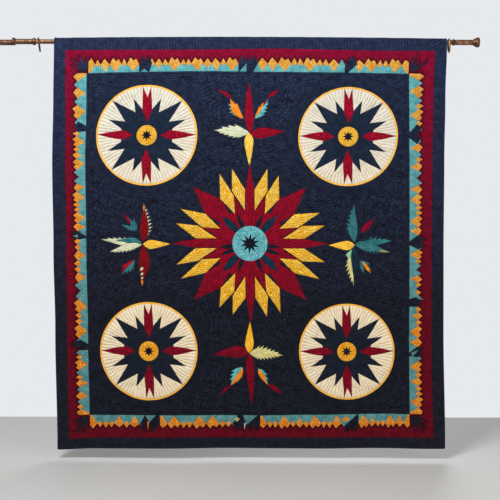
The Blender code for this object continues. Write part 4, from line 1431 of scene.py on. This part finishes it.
class Finishes:
    """Builds the shared shader groups and the materials."""

    CLOUD_RANGE = (0.34, 0.68)
    # Painted shade: the object heights over which the foot colour comes in.
    PAINTED_FALLOFF_RANGE = {"From Min": -0.05, "From Max": -1.40, "To Min": 0.0, "To Max": 1.0}
    PEBBLE_RANGE = (0.0, 0.30)
    WEAVE_SCALE = 620.0
    WEAVE_HEIGHT = 0.22
    LINE_SHADE_RAMP = (0.05, 1.0, 1.0, 0.0)
    SEAM_SHADE = (0.0003, 0.0020, 0.55, 0.0)
    # Painted shadow by the border's teeth: noisy streaks near them and a line that follows their seams.
    STREAK_SCALE = 70.0
    STREAK_REACH = 0.9
    INNER_SHADE = (0.28, 0.60, 0.60, 0.0)
    SHADOW_LINE_START = (0.0015, 0.0040)
    SHADOW_LINE_END = (0.0065, 0.0105, 0.8, 0.0)
    SHADOW_LINE_LIMIT = (0.70, 0.82, 1.0, 0.0)
    CLOTH_RELIEF = 2.6 * MM
    BRONZE_CLOUD = 42.0
    BRONZE_GRAIN = 90.0
    BRONZE_RELIEF = 0.3 * MM
    GLOSS_SPREAD = (-0.08, 0.12)

    def __init__(self) -> None:
        """Build the groups once."""
        self.made: dict[str, bpy.types.Material] = {}
        self.mottle = self.build_mottle()
        self.quilted = self.build_quilted()
        self.falloff_shaded = self.build_painted_falloff()

    def group(self, name: str, inputs: dict[str, str], outputs: dict[str, str]) -> tuple:
        """A new node group's builder, the values it is given, and its end node."""
        tree = bpy.data.node_groups.new(name, "ShaderNodeTree")
        for direction, sockets in (("INPUT", inputs), ("OUTPUT", outputs)):
            for label, kind in sockets.items():
                tree.interface.new_socket(label, in_out=direction, socket_type=kind)
        return Nodes(tree), tree.nodes.new("NodeGroupInput").outputs, tree.nodes.new("NodeGroupOutput")

    def build_mottle(self) -> Tree:
        """Two dye tones clouded into each other."""
        nodes, given, end = self.group(
            "dyed mottle", {"Vector": VECTOR, "Scale": NUMBER, "Deep": COLOUR, "Light": COLOUR},
            {"Color": COLOUR})
        cloud = nodes.node("ShaderNodeTexNoise", {
            "Detail": 4.0, "Roughness": 0.62, "Vector": given["Vector"], "Scale": given["Scale"]})
        share = nodes.ramp(cloud.outputs["Fac"], *self.CLOUD_RANGE)
        nodes.feed(end, {"Color": nodes.mix(share, given["Deep"], given["Light"])})
        return nodes.tree

    def build_painted_falloff(self) -> Tree:
        """Painted shade: a cloth's colour as it is at the top, multiplied more and more towards the foot by a
        colour that stands in for the light's falloff down the quilt.
        """
        nodes, given, end = self.group(
            "painted falloff shade", {"Color": COLOUR, "Painted Foot Shade": COLOUR, "Place": VECTOR}, {"Color": COLOUR})
        height = nodes.node("ShaderNodeSeparateXYZ", {0: given["Place"]}).outputs["Z"]
        share = nodes.node("ShaderNodeMapRange", {"Value": height, **self.PAINTED_FALLOFF_RANGE}).outputs["Result"]
        falloff_shade = nodes.mix(share, (1.0, 1.0, 1.0), given["Painted Foot Shade"])
        nodes.feed(end, {"Color": nodes.mix(1.0, given["Color"], falloff_shade, "MULTIPLY")})
        return nodes.tree

    def build_quilted(self) -> Tree:
        """The relief of stitched lines, pebbles and weave, and the shade in its valleys and seams."""
        numbers = ("Lines", "Seam", "Line Depth", "Pebble Depth", "Pebble Scale", "Line Shade",
                   "Line Width", "Pebble Shade")
        nodes, given, end = self.group(
            "quilted relief", {"Vector": VECTOR, **dict.fromkeys(numbers, NUMBER)},
            {"Height": NUMBER, "Valley": NUMBER})
        turn = nodes.math("MULTIPLY", given["Lines"], math.pi)
        wave = nodes.math("ABSOLUTE", nodes.math("SINE", turn))
        ridge = nodes.math("POWER", wave, LINE_POWER)
        cells = nodes.node("ShaderNodeTexVoronoi", {
            "Randomness": 0.9, "Vector": given["Vector"], "Scale": given["Pebble Scale"]},
            feature="DISTANCE_TO_EDGE")
        pebble = nodes.ramp(cells.outputs["Distance"], *self.PEBBLE_RANGE)
        weave = nodes.node("ShaderNodeTexNoise", {
            "Scale": self.WEAVE_SCALE, "Detail": 1.0, "Vector": given["Vector"]})
        height = nodes.math("ADD", nodes.math("MULTIPLY", ridge, given["Line Depth"]),
                           nodes.math("MULTIPLY", pebble, given["Pebble Depth"]))
        woven = nodes.math("MULTIPLY", weave.outputs["Fac"], self.WEAVE_HEIGHT)
        across = nodes.math("DIVIDE", wave, given["Line Width"])
        # Painted shade along the stitched lines, in the pebble hollows and by the seams.
        lines = nodes.math("MULTIPLY", nodes.ramp(across, *self.LINE_SHADE_RAMP), given["Line Shade"])
        hollow = nodes.math("SUBTRACT", 1.0, pebble)
        pebbles = nodes.math("MULTIPLY", hollow, given["Pebble Shade"])
        seams = nodes.ramp(given["Seam"], *self.SEAM_SHADE)
        valley = nodes.math("MAXIMUM", nodes.math("MAXIMUM", lines, pebbles), seams)
        nodes.feed(end, {"Height": nodes.math("ADD", height, woven), "Valley": valley})
        return nodes.tree

    def painted_tooth_shadow(self, nodes: Nodes, cloth_tone: Socket, inner: str,
              seam: Socket, flat: Socket) -> Socket:
        """Painted shadow: a cloth's colour darkened in streaks by the border's teeth and in a line along its
        seams, standing in for the teeth's shade.
        """
        border = nodes.attribute("border")
        streak = nodes.node("ShaderNodeTexNoise", {"Scale": self.STREAK_SCALE, "Vector": flat})
        uneven = nodes.math("SUBTRACT", streak.outputs["Fac"], 0.5)
        depth = nodes.math("ADD", border, nodes.math("MULTIPLY", uneven, self.STREAK_REACH))
        shadow = nodes.ramp(depth, *self.INNER_SHADE)
        # Painted shadow line along the teeth's seams.
        echo = nodes.math("MULTIPLY", nodes.ramp(seam, *self.SHADOW_LINE_START),
                         nodes.ramp(seam, *self.SHADOW_LINE_END))
        echo = nodes.math("MULTIPLY", echo, nodes.ramp(border, *self.SHADOW_LINE_LIMIT))
        return nodes.mix(nodes.math("MAXIMUM", shadow, echo), cloth_tone, linear(inner))

    def cloth(self, name: str) -> bpy.types.Material:
        """The material of a quilting cotton, built once."""
        if name in self.made:
            return self.made[name]
        facts = CLOTHS[name]
        material = bpy.data.materials.new(name.replace(" ", "_"))
        material.use_nodes = True
        nodes = Nodes(material.node_tree)
        flat = nodes.node("ShaderNodeUVMap", {}, uv_map="flat").outputs["UV"]
        seam = nodes.attribute("seam")
        mottle = nodes.node("ShaderNodeGroup", {
            "Scale": facts.dapple, "Deep": linear(facts.deep), "Light": linear(facts.light),
            "Vector": flat}, node_tree=self.mottle)
        quilted = nodes.node("ShaderNodeGroup", {
            "Line Depth": facts.line_depth, "Pebble Depth": facts.pebble_depth,
            "Pebble Scale": 1.0 / facts.pebble_size,
            "Line Shade": facts.line_shade if facts.line_depth else 0.0,
            "Line Width": facts.line_width, "Pebble Shade": facts.pebble_shade,
            "Vector": flat, "Lines": nodes.attribute("quilting"), "Seam": seam},
            node_tree=self.quilted)
        cloth_tone = mottle.outputs["Color"]
        # Painted shadow by the border's teeth, for cloths that have an inner colour.
        if facts.inner:
            cloth_tone = self.painted_tooth_shadow(nodes, cloth_tone, facts.inner, seam, flat)
        place = nodes.node("ShaderNodeTexCoord", {}).outputs["Object"]
        # Painted shade: the foot colour darkens the cloth towards the bottom in place of the light's falloff.
        falloff_shaded = nodes.node("ShaderNodeGroup", {
            "Painted Foot Shade": facts.foot, "Place": place,
            # Painted shade: the valley colour is mixed in along the quilting lines, pebble hollows and seams.
            "Color": nodes.mix(quilted.outputs["Valley"], cloth_tone, linear(facts.valley))},
            node_tree=self.falloff_shaded)
        nodes.feed(nodes.tree.nodes["Principled BSDF"], {
            "Roughness": facts.roughness, "Specular IOR Level": 0.10, "Sheen Weight": 0.03,
            "Sheen Roughness": 0.5, "Base Color": falloff_shaded.outputs["Color"],
            "Normal": nodes.bump(quilted.outputs["Height"], 1.0, self.CLOTH_RELIEF)})
        self.made[name] = material
        return material

    def bronze(self, name: str, deep: str, light: str, roughness: float) -> bpy.types.Material:
        """Aged bronze: dark brown clouded with worn brighter metal, and a fine grain."""
        material = bpy.data.materials.new(name)
        material.use_nodes = True
        nodes = Nodes(material.node_tree)
        place = nodes.node("ShaderNodeTexCoord", {}).outputs["Object"]
        mottle = nodes.node("ShaderNodeGroup", {
            "Scale": self.BRONZE_CLOUD, "Deep": linear(deep), "Light": linear(light), "Vector": place},
            node_tree=self.mottle)
        grain = nodes.node("ShaderNodeTexNoise", {
            "Scale": self.BRONZE_GRAIN, "Detail": 4.0, "Vector": place}).outputs["Fac"]
        gloss = [roughness + spread for spread in self.GLOSS_SPREAD]
        nodes.feed(nodes.tree.nodes["Principled BSDF"], {
            "Metallic": 0.85, "Base Color": mottle.outputs["Color"],
            "Roughness": nodes.ramp(grain, 0.3, 0.7, *gloss),
            "Normal": nodes.bump(grain, 0.35, self.BRONZE_RELIEF)})
        return material


@dataclass
class RodFittings:
    """The rod, its sleeves, collars, ends and idle rings, kept from the solids."""

    plain: tuple[str, ...] = ("rod", "sleeve_left")
    # Painted light: the right sleeve and ring get a lighter copy of the bronze, standing in for brighter
    # light on the right.
    painted_lit: tuple[str, ...] = ("sleeve_right", "ring_right")
    dark: tuple[str, ...] = (
        "pole_end_left", "collar_left", "collar_right", "flange_left", "cap_right", "ring_left",
    )

    def dress(self, nodes: dict, finishes: Finishes) -> None:
        """Give every fitting its aged bronze; the right sleeve and ring get a lighter copy, painted light on
        the right.
        """
        for names, look in (
            (self.plain, ("aged_bronze", "53392a", "8b694c", 0.52)),
            (self.painted_lit, ("painted_lit_bronze", "6d4a36", "b28460", 0.50)),
            (self.dark, ("dark_bronze", "52382a", "7e5840", 0.50)),
        ):
            material = finishes.bronze(*look)
            for name in names:
                for slot in nodes[name].material_slots:
                    slot.material = material
                LOG.info("%s dressed", name)


@dataclass
class Studio:
    """A pale floor, soft light and the camera."""

    floor_level: float = -2.175
    floor_back: float = 1.25
    camera_distance: float = 5.0
    camera_height: float = -1.0852
    lens: float = 69.0
    sensor: float = 36.0
    roll: float = -0.0021
    floor_half: Point = (4.5, 2.9)
    floor_colour: Colour = (0.62, 0.60, 0.57)
    lit: Colour = (0.94, 0.96, 1.0)
    lit_strength: float = 0.34
    seen: Colour = (0.80, 0.82, 0.84)

    def build(self) -> None:
        """Make all of it."""
        self.floor()
        self.camera()
        self.lights()

    def floor(self) -> None:
        """A plain pale floor just below the quilt."""
        builder = bmesh.new()
        bmesh.ops.create_grid(builder, x_segments=2, y_segments=2, size=1.0)
        wide, deep = self.floor_half
        for vertex in builder.verts:
            vertex.co = (vertex.co.x * wide, self.floor_back - (1.0 - vertex.co.y) * deep, self.floor_level)
        material = bpy.data.materials.new("pale_floor")
        material.use_nodes = True
        shader = material.node_tree.nodes["Principled BSDF"]
        shader.inputs["Base Color"].default_value = (*self.floor_colour, 1.0)
        shader.inputs["Roughness"].default_value = 0.5
        put_mesh("floor", builder, material)

    def camera(self) -> None:
        """A level, straight view of the quilt's face."""
        data = bpy.data.cameras.new("camera")
        data.lens = self.lens
        data.sensor_width = self.sensor
        camera = put("camera", data)
        camera.location = (0.0, -self.camera_distance, self.camera_height)
        camera.rotation_euler = (math.pi / 2, self.roll, 0.0)
        bpy.context.scene.camera = camera

    def lights(self) -> None:
        """Soft light, stronger from above, and a pale surround that is brighter than its own light."""
        bpy.context.scene.view_settings.view_transform = "Standard"
        world = bpy.data.worlds.new("pale_surround")
        bpy.context.scene.world = world
        world.use_nodes = True
        nodes = Nodes(world.node_tree)
        lit, end = (nodes.tree.nodes[name] for name in ("Background", "World Output"))
        nodes.feed(lit, {"Color": self.lit, "Strength": self.lit_strength})
        seen = nodes.node("ShaderNodeBackground", {"Color": self.seen, "Strength": 1.0})
        path = nodes.node("ShaderNodeLightPath", {})
        either = nodes.node("ShaderNodeMixShader", {
            0: path.outputs["Is Camera Ray"], 1: lit.outputs[0], 2: seen.outputs[0]})
        nodes.feed(end, {0: either.outputs[0]})
        for name, place, aim, size, power, colour in (
            ("upper_light", (-1.3, -3.3, 1.9), (0.0, 0.0, -0.8), 1.2, 205.0, (0.92, 0.96, 1.0)),
            ("back_light", (0.9, 3.6, 0.9), (0.0, 0.0, -1.0), 2.4, 60.0, (1.0, 1.0, 1.0)),
            ("lower_light", (2.8, -3.2, -1.2), (0.2, 0.0, -1.2), 2.4, 46.0, (1.0, 0.95, 0.88)),
        ):
            data = bpy.data.lights.new(name, "AREA")
            data.energy = power
            data.size = size
            data.color = colour
            light = put(name, data)
            light.location = place
            light.rotation_euler = (Vector(aim) - Vector(place)).to_track_quat("-Z", "Y").to_euler()


def main() -> None:
    """Build the quilt on its rod."""
    logging.basicConfig(level=logging.INFO, format="%(message)s")
    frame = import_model()
    Studio().build()
    finishes = Finishes()
    hang = Hang()
    quilt = QuiltFace(hang, QuiltPattern(hang))
    face = quilt.build(finishes)
    backing = Backing(hang, quilt).build(finishes)
    binding = Binding(hang).build(finishes)
    for piece in (*face, backing):
        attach(piece, "root")
    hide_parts("quilt")
    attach(binding, "root")
    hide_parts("binding")
    RodFittings().dress(frame["nodes"], finishes)


if __name__ == "__main__":
    main()
